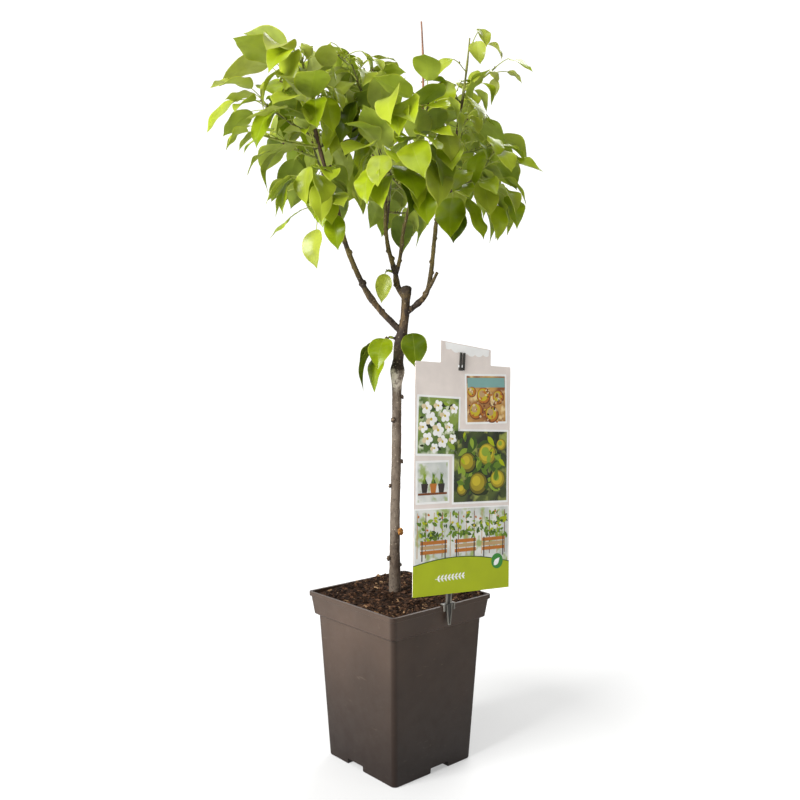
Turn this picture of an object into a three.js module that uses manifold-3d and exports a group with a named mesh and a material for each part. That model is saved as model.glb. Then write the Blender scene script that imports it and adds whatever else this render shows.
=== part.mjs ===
// A young pear tree with four boughs, standing in a square nursery pot with a picture label clipped to its rim.
// Millimetres, +Z up, the front is -Y. The origin is the middle of the pot's flat underside.
import * as THREE from 'three'
import { mergeVertices } from 'three/addons/utils/BufferGeometryUtils.js'
import Module from 'manifold-3d'

const wasm = await Module()
wasm.setup()

const clearance = 0.3 // between pieces that touch on the real plant

// Driving sizes of the pot and its soil
const pot = {
  height: 245,
  turn: 41.4, // degrees about Z, so that one corner nearly faces the front
  rimHalf: 96.1,
  baseHalf: 74.6,
  wall: 2,
  floor: 10,
  corner: 7,
  lipHeight: 6,
  collarHeight: 34,
  collarTop: 94,
  collarFoot: 90.6,
  bodyTop: 85.5
}
const drain = { width: 36, height: 8, depth: 26, offset: 11, slotWidth: 18, slotDepth: 7 }
const soil = { edge: 238.5, crown: 244.5, flat: 20 }

// Driving sizes of the limbs. A limb's course is a smooth curve through its knots, its radius tapers from foot to tip,
// and swellings are [distance along the limb as a fraction, extra radius, half length as a fraction].
const groundLevel = soil.crown + clearance
const limbs = {
  trunk: {
    knots: [
      [-6.8, 2, groundLevel], [-6.2, 2, 350], [-4, 2, 465], [-3.2, 0, 560], [0.8, 0, 607], [7.6, 0, 645], [10.3, 0, 690]
    ],
    foot: 7.2,
    tip: 5.6,
    sides: 12,
    rings: 30,
    swellings: [[0, 1.2, 0.09], [0.525, 3.6, 0.036], [0.68, 2.2, 0.09], [1, 1.8, 0.05]]
  },
  left_bough: {
    knots: [[2, 0, 628], [-29, -4, 660], [-52, -10, 694], [-75.5, -17, 749], [-89.5, -24, 806], [-104, -30, 856]],
    foot: 5.2,
    tip: 3,
    sides: 7,
    rings: 14,
    swellings: [[0.3, 1.3, 0.03], [0.75, 0.8, 0.02]]
  },
  centre_bough: {
    knots: [[8, 0, 676], [-2.5, 9, 694], [-6, 16, 714], [-15.5, 25, 748], [-20, 34, 782], [-20, 44, 818]],
    foot: 4.9,
    tip: 2.7,
    sides: 7,
    rings: 12,
    swellings: [[0.27, 0.9, 0.05], [0.44, 1, 0.03]]
  },
  inner_bough: {
    knots: [[-4, 16, 713], [2, 11, 740], [6, 2, 772], [16, -12, 812]],
    foot: 3.5,
    tip: 2.4,
    sides: 7,
    rings: 7,
    swellings: [[0.5, 0.5, 0.04]]
  },
  right_bough: {
    knots: [[8, 0, 653], [28, 2, 669], [40.5, 6, 686], [47.5, 10, 724], [54, 16, 786], [64, 22, 832], [74, 25, 872]],
    foot: 4.6,
    tip: 2.6,
    sides: 7,
    rings: 14,
    swellings: [[0.16, 1, 0.03], [0.76, 0.7, 0.02]]
  }
}
const bud = { radius: 2.2, length: 3.8, lift: 30 }
const buds = [
  [285, 5, 0.7], [297, 182, 0.9], [336, 5, 1.3], [402, 182, 1], [438, 5, 1], [499, 182, 1.2], [532, 5, 1]
] // knobs on the trunk: height, azimuth and size
const cutStub = {
  knots: [[39.5, 5.5, 685], [47.5, 2.5, 698], [55, -2, 712.5]],
  foot: 3.2,
  tip: 2.2,
  sides: 6,
  rings: 3
}
const stubLength = 4.5 // of the stubs that masses of foliage grow from

// Leaves, their stalks and the twigs that carry them. A pair of values is the least and the spread above it.
const leafRule = {
  length: 60,
  lengthPart: [0.86, 0.28],
  breadth: 0.68,
  stalk: 30,
  stalkPart: [0.7, 0.6],
  stalkRadius: 0.85,
  stalkRise: 0.12,
  fold: 11, // degrees that each half rises from the midrib, which makes the solid leaf's keel
  foldPart: [0.5, 1],
  droop: [0.5, 1.4],
  curl: [0.08, 0.26],
  roll: 50,
  rows: [0.1, 0.42, 0.78],
  goldenAngle: 137.508,
  turnSpread: 50,
  open: 66, // degrees between the twig and a stalk, less towards the twig's tip
  openDrop: 40,
  openSpread: 16,
  attempts: 14,
  attemptTurn: 47,
  clear: 1.3
}
const twigRule = {
  stemSides: 5,
  stemSteps: 5,
  shootSides: 3,
  shootSteps: 2,
  shootRadius: 1.7,
  shootPart: 0.8, // of the stem's radius at most
  taper: 0.5,
  sag: 0.06,
  clear: 2.2,
  short: 25, // a twig up to this length bears its leaves near the tip
  firstLeaf: 0.42,
  firstLeafShort: 0.7
}
const spaceMargin = 1.2 // from the border between two masses
const nearby = 140 // farther limbs can't touch a leaf

// Masses of foliage. Each grows from a stub or the tip of its limb: a stem with a course of its own (azimuth in degrees
// from +X towards +Y, lift above level, rise that turns it upwards), then shoots from it with leaves by the seeded rule.
// A shoot is [fraction along the stem, azimuth, lift, length, leaves, leaf size, stalk length where it isn't the full
// one]. The heart marks the mass's own space.
const masses = [
  {
    name: 'foliage_left_top',
    limb: 'left_bough',
    at: 1,
    stem: [205, 76, 138, 0.1],
    radius: 2.8,
    heart: [-165, -60, 945],
    seed: 53,
    shoots: [
      [0.3, 183, 33, 92, 6, 1], [0.22, 196, 8, 82, 5, 0.75], [0.42, 262, 12, 34, 6, 1.15],
      [0.75, 176, 16, 37, 4, 1.15], [0.95, 225, 16, 8, 4, 1], [0.5, 342, 65, 36, 3, 0.85],
      [0.74, 100, 16, 34, 5, 1], [0.23, 217, 17, 10, 3, 0.82], [0.57, 299, 18, 18, 3, 0.83]
    ]
  },
  {
    name: 'foliage_left_low',
    limb: 'left_bough',
    at: 0.8,
    stem: [222, 20, 32, 0.1],
    radius: 2.3,
    heart: [-135, -60, 805],
    seed: 87,
    shoots: [
      [0.21, 300, -20, 11, 3, 0.85], [0.28, 230, -40, 22, 2, 0.9], [0.95, 254, 34, 18, 5, 0.9],
      [0.72, 147, 42, 27, 6, 0.75], [0.76, 262, 18, 22, 4, 0.8], [0.8, 255, 28, 23, 3, 0.9]
    ]
  },
  {
    name: 'foliage_left_back',
    limb: 'left_bough',
    at: 0.86,
    stem: [112, 34, 112, 0.2],
    radius: 2.4,
    heart: [-130, 100, 890],
    seed: 7,
    shoots: [
      [0.35, 170, 10, 34, 5, 1], [0.55, 60, 15, 26, 5, 0.95], [0.75, 185, 22, 52, 6, 1],
      [0.98, 110, 40, 22, 7, 1.05], [0.9, 40, 30, 40, 5, 1]
    ]
  },
  {
    name: 'foliage_centre_top',
    limb: 'centre_bough',
    at: 1,
    stem: [205, 73, 186, 0.1],
    radius: 2.6,
    heart: [-45, 45, 938],
    seed: 199,
    shoots: [
      [0.46, 277, 20, 64, 6, 1], [0.56, 206, 30, 34, 5, 1], [0.49, 330, 30, 40, 6, 1],
      [0.78, 250, 34, 36, 6, 1.1], [0.98, 150, 40, 30, 6, 1.1], [0.9, 32, 38, 30, 5, 1.15],
      [0.59, 277, 0, 28, 4, 0.97], [0.52, 257, -15, 37, 4, 1.02]
    ]
  },
  {
    name: 'foliage_centre_back',
    limb: 'centre_bough',
    at: 0.78,
    stem: [86, 36, 118, 0.25],
    radius: 2.3,
    heart: [-10, 145, 880],
    seed: 93,
    shoots: [
      [0.35, 20, 0, 26, 5, 0.9], [0.5, 160, 32, 28, 5, 0.9], [0.75, 60, 12, 36, 6, 1.05],
      [0.98, 100, 42, 42, 8, 1.15], [0.91, 140, 41, 25, 4, 0.95]
    ]
  },
  {
    name: 'foliage_front',
    limb: 'inner_bough',
    at: 1,
    stem: [297, 82, 228, 0.065],
    radius: 2.4,
    heart: [10, -85, 870],
    seed: 43,
    shoots: [
      [0.03, 236, 24, 84, 7, 1.1], [0.06, 292, 10, 40, 6, 1], [0.12, 205, 28, 70, 6, 1.1],
      [0.2, 262, 18, 66, 6, 1.15], [0.28, 325, 18, 56, 6, 1], [0.4, 232, 28, 54, 6, 1.1],
      [0.47, 285, 32, 38, 6, 1], [0.44, 23, -6, 26, 4, 0.9], [0.6, 208, 35, 24, 4, 0.9]
    ]
  },
  {
    name: 'foliage_right_top',
    limb: 'right_bough',
    at: 1,
    stem: [20, 80, 178, 0.05],
    radius: 2.3,
    heart: [110, 20, 965],
    seed: 111,
    shoots: [
      [0.2, 223, 25, 42, 5, 1.05], [0.3, 300, 20, 27, 6, 0.95], [0.48, 85, 30, 39, 5, 0.85],
      [0.52, 200, 36, 23, 5, 0.9], [0.62, 344, 32, 53, 1, 0.67], [0.93, 310, 30, 8, 1, 0.62]
    ]
  },
  {
    name: 'foliage_right_low',
    limb: 'right_bough',
    at: 0.82,
    stem: [335, 14, 44, 0.1],
    radius: 2.2,
    heart: [135, -35, 825],
    seed: 242,
    shoots: [
      [0.2, 275, -12, 13, 4, 1.05], [0.84, 337, -16, 34, 6, 0.8], [0.98, 320, 46, 46, 6, 0.85],
      [0.6, 318, 32, 34, 7, 0.95], [0.5, 33, 8, 36, 6, 0.9]
    ]
  },
  {
    name: 'foliage_right_back',
    limb: 'right_bough',
    at: 0.86,
    stem: [72, 34, 104, 0.2],
    radius: 2.2,
    heart: [110, 120, 875],
    seed: 71,
    shoots: [
      [0.4, 0, 13, 27, 5, 0.85], [0.49, 122, 18, 26, 5, 0.95], [0.8, 15, 16, 56, 6, 0.95],
      [0.55, 111, 14, 36, 4, 0.94], [0.98, 65, 65, 24, 7, 1.1]
    ]
  },
  {
    name: 'sprig_hanging',
    limb: 'centre_bough',
    at: 0.4,
    stem: [215, 10, 5, 0],
    radius: 1.6,
    heart: [-22, -5, 700],
    seed: 488,
    shoots: [[0.8, 223, -30, 3, 1, 0.78, 0.3]]
  },
  {
    name: 'sprig_left',
    limb: 'trunk',
    at: 0.7,
    stem: [200, 15, 6, 0],
    radius: 1.6,
    heart: [-45, -20, 585],
    seed: 1909,
    shoots: [[0.8, 223, -30, 7, 4, 1.02, 0.4]]
  },
  {
    name: 'sprig_right',
    limb: 'trunk',
    at: 0.69,
    stem: [345, 25, 5, 0],
    radius: 1.5,
    heart: [35, -15, 600],
    seed: 1809,
    shoots: [[0.8, 323, 40, 3, 1, 0.88, 0.3]]
  }
]

// Picture label on a clip over the rim of the pot's right front side. Its frame stands on the rim, x across, z up.
const label = {
  place: [7, -97.6, 247],
  turn: -6.5,
  lean: 3.7, // backwards
  tilt: 3.5, // to the right
  left: -64,
  width: 173,
  foot: 14.3,
  height: 322,
  thickness: 0.8,
  tabLeft: -20.5,
  tabWidth: 91.2,
  tabRise: 31,
  tabDrop: 7.9,
  slotHeight: 7
}
const clip = {
  stemTilt: 2.9, // further to the right than the card
  width: 9,
  depth: 3,
  length: 351.6,
  prongLength: 17,
  prongWidth: 4,
  bladeLength: 29,
  bladeTop: 8.5,
  bladeTip: 3,
  hookReach: 13,
  hookLength: 10
}

// Geometry helpers

const radians = THREE.MathUtils.degToRad
const up = new THREE.Vector3(0, 0, 1)

function vector(values) {
  return new THREE.Vector3(...values)
}

// Unit vector from an azimuth about Z and a lift above level, both in degrees
function heading(azimuth, lift) {
  const level = Math.cos(radians(lift))
  return new THREE.Vector3(level * Math.cos(radians(azimuth)), level * Math.sin(radians(azimuth)), Math.sin(radians(lift)))
}

// Closed geometry from a stack of rings with equal counts, each counter-clockwise seen from the far end, which is flat
// or comes to an apex
function stack(rings, apex = null) {
  const count = rings[0].length
  const last = (rings.length - 1) * count
  const positions = rings.flat().flatMap((point) => point.toArray())
  const faces = []
  for (let row = 0; row < rings.length - 1; row++) {
    for (let i = 0; i < count; i++) {
      const next = (i + 1) % count
      const low = row * count
      const high = low + count
      faces.push(low + i, low + next, high + next, low + i, high + next, high + i)
    }
  }
  for (let i = 1; i < count - 1; i++) {
    faces.push(0, i + 1, i)
    if (!apex) {
      faces.push(last, last + i, last + i + 1)
    }
  }
  if (apex) {
    positions.push(...apex.toArray())
    for (let i = 0; i < count; i++) {
      faces.push(last + i, last + ((i + 1) % count), last + count)
    }
  }
  const geometry = new THREE.BufferGeometry()
  geometry.setAttribute('position', new THREE.Float32BufferAttribute(positions, 3))
  geometry.setIndex(faces)
  return geometry
}

// Tapering tube along a course of points, with frames carried on from one ring to the next
function tube(course, radii, sides) {
  const rings = []
  let side = new THREE.Vector3()
  for (let i = 0; i < course.length; i++) {
    const before = course[Math.max(i - 1, 0)]
    const after = course[Math.min(i + 1, course.length - 1)]
    const along = after.clone().sub(before).normalize()
    if (i === 0) {
      side = Math.abs(along.z) > 0.9 ? new THREE.Vector3(1, 0, 0) : up.clone()
    }
    side.addScaledVector(along, -side.dot(along)).normalize()
    const other = along.clone().cross(side)
    const ring = []
    for (let k = 0; k < sides; k++) {
      const angle = (k / sides) * 2 * Math.PI
      const point = course[i].clone().addScaledVector(side, radii[i] * Math.cos(angle))
      ring.push(point.addScaledVector(other, radii[i] * Math.sin(angle)))
    }
    rings.push(ring)
  }
  return stack(rings)
}

// Point at fraction t of a smooth curve through knots
function splinePoint(knots, t) {
  const span = Math.min(Math.floor(t * (knots.length - 1)), knots.length - 2)
  const u = t * (knots.length - 1) - span
  const b = vector(knots[span])
  const c = vector(knots[span + 1])
  const a = span > 0 ? vector(knots[span - 1]) : b.clone().multiplyScalar(2).sub(c)
  const d = span < knots.length - 2 ? vector(knots[span + 2]) : c.clone().multiplyScalar(2).sub(b)
  const point = b.clone().multiplyScalar(2)
  point.addScaledVector(c.clone().sub(a), u)
  point.addScaledVector(a.clone().multiplyScalar(2).addScaledVector(b, -5).addScaledVector(c, 4).sub(d), u * u)
  point.addScaledVector(b.clone().sub(c).multiplyScalar(3).sub(a).add(d), u * u * u)
  return point.multiplyScalar(0.5)
}

// Point at fraction t of the curve from start through the pull of knee to end
function bendPoint(start, knee, end, t) {
  const point = start.clone().multiplyScalar((1 - t) * (1 - t))
  point.addScaledVector(knee, 2 * t * (1 - t))
  return point.addScaledVector(end, t * t)
}

// Course of such a curve as a list of points
function bendCourse(start, knee, end, steps) {
  return [...Array(steps + 1).keys()].map((i) => bendPoint(start, knee, end, i / steps))
}

// Point at fraction t of a course, on the straight line between its points
function coursePoint(course, t) {
  const span = Math.min(Math.floor(t * (course.length - 1)), course.length - 2)
  return course[span].clone().lerp(course[span + 1], t * (course.length - 1) - span)
}

// Ring of a square with rounded corners
function roundedSquare(half, radius, height, steps = 4) {
  const ring = []
  for (let corner = 0; corner < 4; corner++) {
    for (let i = 0; i < steps; i++) {
      const angle = ((corner + i / (steps - 1)) * Math.PI) / 2
      const cornerAngle = ((corner + 0.5) * Math.PI) / 2
      const reach = (half - radius) * Math.SQRT2
      const x = reach * Math.cos(cornerAngle) + radius * Math.cos(angle)
      const y = reach * Math.sin(cornerAngle) + radius * Math.sin(angle)
      ring.push(new THREE.Vector3(x, y, height))
    }
  }
  return ring
}

function box(width, depth, height, x, y, z) {
  return new THREE.BoxGeometry(width, depth, height).translate(x, y, z)
}

function solidOf(geometry) {
  geometry.deleteAttribute('normal')
  geometry.deleteAttribute('uv')
  const merged = mergeVertices(geometry, 1e-5)
  const vertProperties = new Float32Array(merged.attributes.position.array)
  const triVerts = new Uint32Array(merged.index.array)
  return new wasm.Manifold(new wasm.Mesh({ numProp: 3, vertProperties, triVerts }))
}

function joined(geometries) {
  return geometries.map(solidOf).reduce((whole, piece) => whole.add(piece))
}

function geometryOf(solid) {
  const mesh = solid.getMesh()
  const geometry = new THREE.BufferGeometry()
  geometry.setAttribute('position', new THREE.BufferAttribute(new Float32Array(mesh.vertProperties), 3))
  geometry.setIndex(new THREE.BufferAttribute(new Uint32Array(mesh.triVerts), 1))
  return geometry
}

// The outer skin of the largest piece: loose scraps go, and sealed hollows are filled
function wholeOf(solid) {
  const pieces = solid.decompose()
  return pieces.reduce((largest, piece) => (piece.volume() > largest.volume() ? piece : largest))
}

function named(name, geometry, look) {
  const material = new THREE.MeshStandardMaterial({ metalness: 0, ...look })
  const mesh = new THREE.Mesh(geometry, material)
  mesh.name = name
  return mesh
}

// Pot and soil

function potSection(inset) {
  const lipFoot = pot.height - pot.lipHeight
  const collarFoot = pot.height - pot.collarHeight
  const profile = [
    [pot.bodyTop, collarFoot - 1.5],
    [pot.collarFoot, collarFoot + 1.5],
    [pot.collarTop, lipFoot - 0.8]
  ]
  return profile.map(([half, height]) => [half - inset, height])
}

function buildPot() {
  const section = potSection(0)
  const outer = [
    [pot.baseHalf - 1, 0],
    [pot.baseHalf, 1.5],
    ...section,
    [pot.rimHalf, pot.height - pot.lipHeight],
    [pot.rimHalf, pot.height - 0.8],
    [pot.rimHalf - 0.8, pot.height]
  ]
  const inner = [
    [pot.baseHalf - pot.wall, pot.floor],
    ...potSection(pot.wall),
    [pot.collarTop - pot.wall, pot.height + 1]
  ]
  const radius = pot.corner
  let solid = solidOf(stack(outer.map(([half, height]) => roundedSquare(half, radius, height))))
  solid = solid.subtract(solidOf(stack(inner.map(([half, height]) => roundedSquare(half, radius - 2, height)))))
  for (let side = 0; side < 4; side++) {
    const offset = side % 2 === 0 ? drain.offset : -drain.offset
    const reach = pot.baseHalf - drain.depth / 2 + 2
    const channel = box(drain.width, drain.depth + 4, drain.height, offset, -reach, drain.height / 2 - 0.01)
    const slot = box(drain.slotWidth, drain.slotDepth, pot.floor + 2, offset, -pot.baseHalf + 14, pot.floor / 2)
    for (const cut of [channel, slot]) {
      solid = solid.subtract(solidOf(cut.rotateZ((side * Math.PI) / 2)))
    }
  }
  return solid
}

function buildSoil() {
  const inset = pot.wall + clearance
  const edge = pot.collarTop - inset
  const heap = [1, 0.93, 0.75, 0.5]
  const top = heap.map((part) => {
    const rise = 1 - (part - soil.flat / edge) / (1 - soil.flat / edge)
    return [edge * part, soil.edge + (soil.crown - soil.edge) * Math.sin((rise * Math.PI) / 2)]
  })
  const profile = [
    [pot.baseHalf - inset, pot.floor + clearance],
    ...potSection(inset).slice(0, 2),
    ...top,
    [soil.flat, soil.crown]
  ]
  return solidOf(stack(profile.map(([half, height]) => roundedSquare(half, Math.min(pot.corner - 2, half / 3), height))))
}

// Limbs

function limbRadius(limb, t) {
  let radius = limb.foot + (limb.tip - limb.foot) * t
  for (const [at, extra, reach] of limb.swellings ?? []) {
    radius += extra * Math.exp(-(((t - at) / reach) ** 2))
  }
  return radius
}

function limbCourse(limb) {
  const steps = [...Array(limb.rings + 1).keys()]
  return steps.map((i) => splinePoint(limb.knots, i / limb.rings))
}

// Fraction along a rising limb at which its course reaches a height
function fractionAt(knots, height) {
  let [low, high] = [0, 1]
  for (let i = 0; i < 20; i++) {
    const middle = (low + high) / 2
    if (splinePoint(knots, middle).z < height) low = middle
    else high = middle
  }
  return low
}

function limbSolid(limb, extra = 0) {
  const radii = limbCourse(limb).map((_, i) => limbRadius(limb, i / limb.rings) + extra)
  return solidOf(tube(limbCourse(limb), radii, limb.sides))
}

// Stub on a limb's side that a mass grows from: its foot on the limb's centre line, its tip and its direction
function stubOf(limb, at, azimuth, lift) {
  const foot = splinePoint(limb.knots, at)
  if (at === 1) {
    const direction = foot.clone().sub(splinePoint(limb.knots, 0.97)).normalize()
    return { foot, tip: foot, direction }
  }
  const direction = heading(azimuth, lift)
  const tip = foot.clone().addScaledVector(direction, limbRadius(limb, at) + stubLength)
  return { foot, tip, direction }
}

function buildLimb(name) {
  const limb = limbs[name]
  let solid = limbSolid(limb)
  for (const mass of masses.filter((entry) => entry.limb === name && entry.at < 1)) {
    const { foot, tip } = stubOf(limb, mass.at, mass.stem[0], mass.stem[1])
    solid = solid.add(solidOf(tube([foot, tip], [mass.radius + 1, mass.radius], 5)))
  }
  if (name === 'trunk') {
    for (const [height, azimuth, size] of buds) {
      const t = fractionAt(limb.knots, height)
      const foot = splinePoint(limb.knots, t)
      const tip = foot.clone().addScaledVector(heading(azimuth, bud.lift), limbRadius(limb, t) + bud.length * size)
      solid = solid.add(solidOf(tube([foot, tip], [bud.radius * size * 1.6, bud.radius * size * 0.5], 5)))
    }
  }
  if (name === 'right_bough') {
    solid = solid.add(limbSolid(cutStub))
  }
  return solid
}

// Where one limb springs from another, its foot is cut back to leave the clearance
const springsFrom = { left_bough: 'trunk', centre_bough: 'trunk', inner_bough: 'centre_bough', right_bough: 'trunk' }

function buildLimbs() {
  const solids = { trunk: buildLimb('trunk') }
  for (const [name, parent] of Object.entries(springsFrom)) {
    solids[name] = wholeOf(buildLimb(name).subtract(limbSolid(limbs[parent], clearance)).subtract(solids[parent]))
  }
  return solids
}

// Foliage

// Whole-number generator with the same run of values for the same seed
function seeded(seed) {
  let state = seed
  return () => {
    state = (state * 16807) % 2147483647
    return state / 2147483647
  }
}

// Next value between the least and the spread above it
function between([least, spread], random) {
  return least + spread * random()
}

// Half breadth of a leaf at fraction t of its length, as a part of its greatest half breadth
function leafOutline(t) {
  return Math.sin(Math.PI * t ** 0.72) ** 0.85 * (1 - 0.35 * t ** 5)
}

// Point on a leaf's middle surface, t from base to tip and across from -1 to 1
function leafPoint(leaf, t, across) {
  const half = leaf.length * leafRule.breadth * 0.5 * leafOutline(t) * Math.abs(across)
  const point = leaf.base.clone().addScaledVector(leaf.along, leaf.length * t)
  point.addScaledVector(leaf.side, Math.sign(across) * half * Math.cos(leaf.fold))
  const rise = half * Math.sin(leaf.fold) - leaf.curl * leaf.length * t * t
  return point.addScaledVector(leaf.face, rise)
}

// Keeled leaf on its three-sided stalk, as one closed skin from the stalk's root to the leaf's tip. Each of its rings is
// the right edge, the keel and the left edge.
function leafGeometry(leaf) {
  const rings = [[leaf.place, leaf.heading], [leaf.base, leaf.bend]].map(([middle, direction]) => {
    const face = leaf.across.clone().cross(direction)
    return [30, 270, 150].map((angle) => {
      const point = middle.clone().addScaledVector(leaf.across, leafRule.stalkRadius * Math.cos(radians(angle)))
      return point.addScaledVector(face, leafRule.stalkRadius * Math.sin(radians(angle)))
    })
  })
  for (const t of leafRule.rows) {
    rings.push([leafPoint(leaf, t, 1), leafPoint(leaf, t, 0), leafPoint(leaf, t, -1)])
  }
  return stack(rings, leafPoint(leaf, 1, 0))
}

// Middle surface of a leaf as triangles, two to each side of the midrib per row
function leafTriangles(leaf) {
  const stations = [0.02, ...leafRule.rows, 1]
  const triangles = []
  for (let i = 0; i < stations.length - 1; i++) {
    for (const across of [-1, 1]) {
      const a = leafPoint(leaf, stations[i], 0)
      const b = leafPoint(leaf, stations[i + 1], 0)
      const c = leafPoint(leaf, stations[i + 1], across)
      const d = leafPoint(leaf, stations[i], across)
      triangles.push([a, b, c], [a, c, d])
    }
  }
  return triangles
}

// Whether the segment from p to q crosses a triangle
function crosses(p, q, [a, b, c]) {
  const ray = q.clone().sub(p)
  const ab = b.clone().sub(a)
  const ac = c.clone().sub(a)
  const h = ray.clone().cross(ac)
  const det = ab.dot(h)
  if (Math.abs(det) < 1e-9) {
    return false
  }
  const s = p.clone().sub(a)
  const u = s.dot(h) / det
  const k = s.clone().cross(ab)
  const v = ray.dot(k) / det
  const t = ac.dot(k) / det
  return u >= 0 && v >= 0 && u + v <= 1 && t >= 0 && t <= 1
}

// Stalk, outline and midrib of a leaf as segments
function leafEdges(leaf) {
  const stations = [0.02, ...leafRule.rows, 1]
  const edges = [[leaf.place, leaf.base]]
  for (const across of [-1, 0, 1]) {
    for (let i = 0; i < stations.length - 1; i++) {
      edges.push([leafPoint(leaf, stations[i], across), leafPoint(leaf, stations[i + 1], across)])
    }
  }
  return edges
}

function leavesCross(one, other) {
  const near = one.length + other.length
  if (one.middle.distanceTo(other.middle) > near) {
    return false
  }
  const hits = (edges, triangles) => edges.some(([p, q]) => triangles.some((triangle) => crosses(p, q, triangle)))
  return hits(one.edges, other.triangles) || hits(other.edges, one.triangles)
}

// Distance from a point to the segment from p to q
function distanceToSegment(point, p, q) {
  const along = q.clone().sub(p)
  const t = THREE.MathUtils.clamp(point.clone().sub(p).dot(along) / along.lengthSq(), 0, 1)
  return point.distanceTo(p.clone().addScaledVector(along, t))
}

// Centre lines of all limbs as [start, end, radius]
const limbSegments = [...Object.values(limbs), cutStub].flatMap((limb) => {
  const course = limbCourse(limb)
  return course.slice(1).map((end, i) => [course[i], end, limbRadius(limb, i / limb.rings)])
})

// Whether a point keeps to the space of a mass: nearer its heart than any other heart
function inSpace(point, mass) {
  const own = point.distanceTo(vector(mass.heart))
  return masses.every((other) => {
    if (other === mass) {
      return true
    }
    const between = vector(other.heart).distanceTo(vector(mass.heart))
    const margin = (point.distanceToSquared(vector(other.heart)) - own * own) / (2 * between)
    return margin > spaceMargin
  })
}

// Whether points and triangles keep clear of all limbs and of the other masses' stems
function clearOfLimbs(points, triangles, margin, mass) {
  const others = stems.filter((stem) => stem.mass !== mass).flatMap((stem) => stem.segments)
  return [...limbSegments, ...others].every(([p, q, radius]) => {
    const reach = radius + margin
    const middle = p.clone().lerp(q, 0.5)
    if (points[0].distanceTo(middle) > nearby) {
      return true
    }
    if (points.some((point) => distanceToSegment(point, p, q) < reach)) {
      return false
    }
    return !triangles.some((triangle) => crosses(p, q, triangle))
  })
}

// Leaf on its stalk, from a place on a twig, with the stalk's heading bent down into the leaf by droop
function makeLeaf(place, stalkHeading, size, stalkSize, random) {
  const droop = between(leafRule.droop, random)
  const roll = leafRule.roll * (random() - 0.5)
  const length = leafRule.length * size * between(leafRule.lengthPart, random)
  const stalk = leafRule.stalk * stalkSize * between(leafRule.stalkPart, random)
  const level = new THREE.Vector3(stalkHeading.x, stalkHeading.y, 0).normalize()
  const along = stalkHeading.clone().addScaledVector(up, -droop).normalize()
  const across = level.clone().cross(up)
  const side = across.clone().applyAxisAngle(along, radians(roll))
  const face = side.clone().cross(along)
  const bend = stalkHeading.clone().add(along).normalize()
  const knee = place.clone().addScaledVector(stalkHeading, stalk * 0.6)
  const base = knee.clone().addScaledVector(bend, stalk * 0.4)
  const fold = radians(leafRule.fold * between(leafRule.foldPart, random))
  const curl = between(leafRule.curl, random)
  const leaf = { place, knee, base, heading: stalkHeading, bend, across, along, side, face, length, fold, curl }
  leaf.middle = leafPoint(leaf, 0.5, 0)
  leaf.triangles = leafTriangles(leaf)
  leaf.edges = leafEdges(leaf)
  return leaf
}

function leafFits(leaf, mass, wood, leaves) {
  const stalkPoints = [0.35, 0.65, 1].map((t) => bendPoint(leaf.place, leaf.knee, leaf.base, t))
  const points = [...leaf.edges.flat(), ...stalkPoints]
  if (!points.every((point) => inSpace(point, mass)) || !clearOfLimbs(points, leaf.triangles, leafRule.clear, mass)) {
    return false
  }
  if (leaves.some((other) => leavesCross(leaf, other))) {
    return false
  }
  return !wood.some(([p, q]) => leaf.triangles.some((triangle) => crosses(p, q, triangle)))
}

// Course of one shoot of a mass, or nothing where it would leave the space or touch a limb
function shootCourse(mass, stem, [at, azimuth, lift, length]) {
  const start = coursePoint(stem, at)
  const direction = heading(azimuth, lift)
  const end = start.clone().addScaledVector(direction, length)
  const knee = start.clone().addScaledVector(direction, length * 0.55)
  knee.z -= length * twigRule.sag
  const course = bendCourse(start, knee, end, twigRule.shootSteps)
  const kept = course.slice(1).every((point) => inSpace(point, mass))
  return kept && clearOfLimbs(course.slice(1), [], twigRule.clear, mass) ? course : null
}

// Leaves set round a shoot, crowding towards its tip
function growLeaves(mass, shoot, course, wood, leaves, random) {
  const [, azimuth, lift, length, count, size, stalkSize = 1] = shoot
  const direction = heading(azimuth, lift)
  const across = direction.clone().cross(up).normalize()
  const first = length > twigRule.short ? twigRule.firstLeaf : twigRule.firstLeafShort
  for (let i = 0; i < count; i++) {
    const t = count > 1 ? first + ((1 - first) * i) / (count - 1) : 1
    for (let attempt = 0; attempt < leafRule.attempts; attempt++) {
      const offset = leafRule.turnSpread * (random() - 0.5) + leafRule.attemptTurn * attempt
      const spread = across.clone().applyAxisAngle(direction, radians(leafRule.goldenAngle * i + offset))
      const open = radians(leafRule.open - leafRule.openDrop * t * t + leafRule.openSpread * (random() - 0.5))
      const stalkHeading = direction.clone().multiplyScalar(Math.cos(open)).addScaledVector(spread, Math.sin(open))
      stalkHeading.z += leafRule.stalkRise
      const leaf = makeLeaf(coursePoint(course, t), stalkHeading.normalize(), size, stalkSize, random)
      if (leafFits(leaf, mass, wood, leaves)) {
        leaves.push(leaf)
        break
      }
    }
  }
}

// Course of a mass's stem, from just clear of its stub's tip
function stemCourse(mass) {
  const [azimuth, lift, length, rise] = mass.stem
  const stub = stubOf(limbs[mass.limb], mass.at, azimuth, lift)
  const start = stub.tip.clone().addScaledVector(stub.direction, clearance)
  const knee = start.clone().addScaledVector(stub.direction, length * 0.45)
  const end = start.clone().addScaledVector(heading(azimuth, lift), length)
  end.z += length * rise
  return bendCourse(start, knee, end, twigRule.stemSteps)
}

const stems = masses.map((mass) => {
  const course = stemCourse(mass)
  return { mass, course, segments: course.slice(1).map((end, i) => [course[i], end, mass.radius]) }
})

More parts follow.
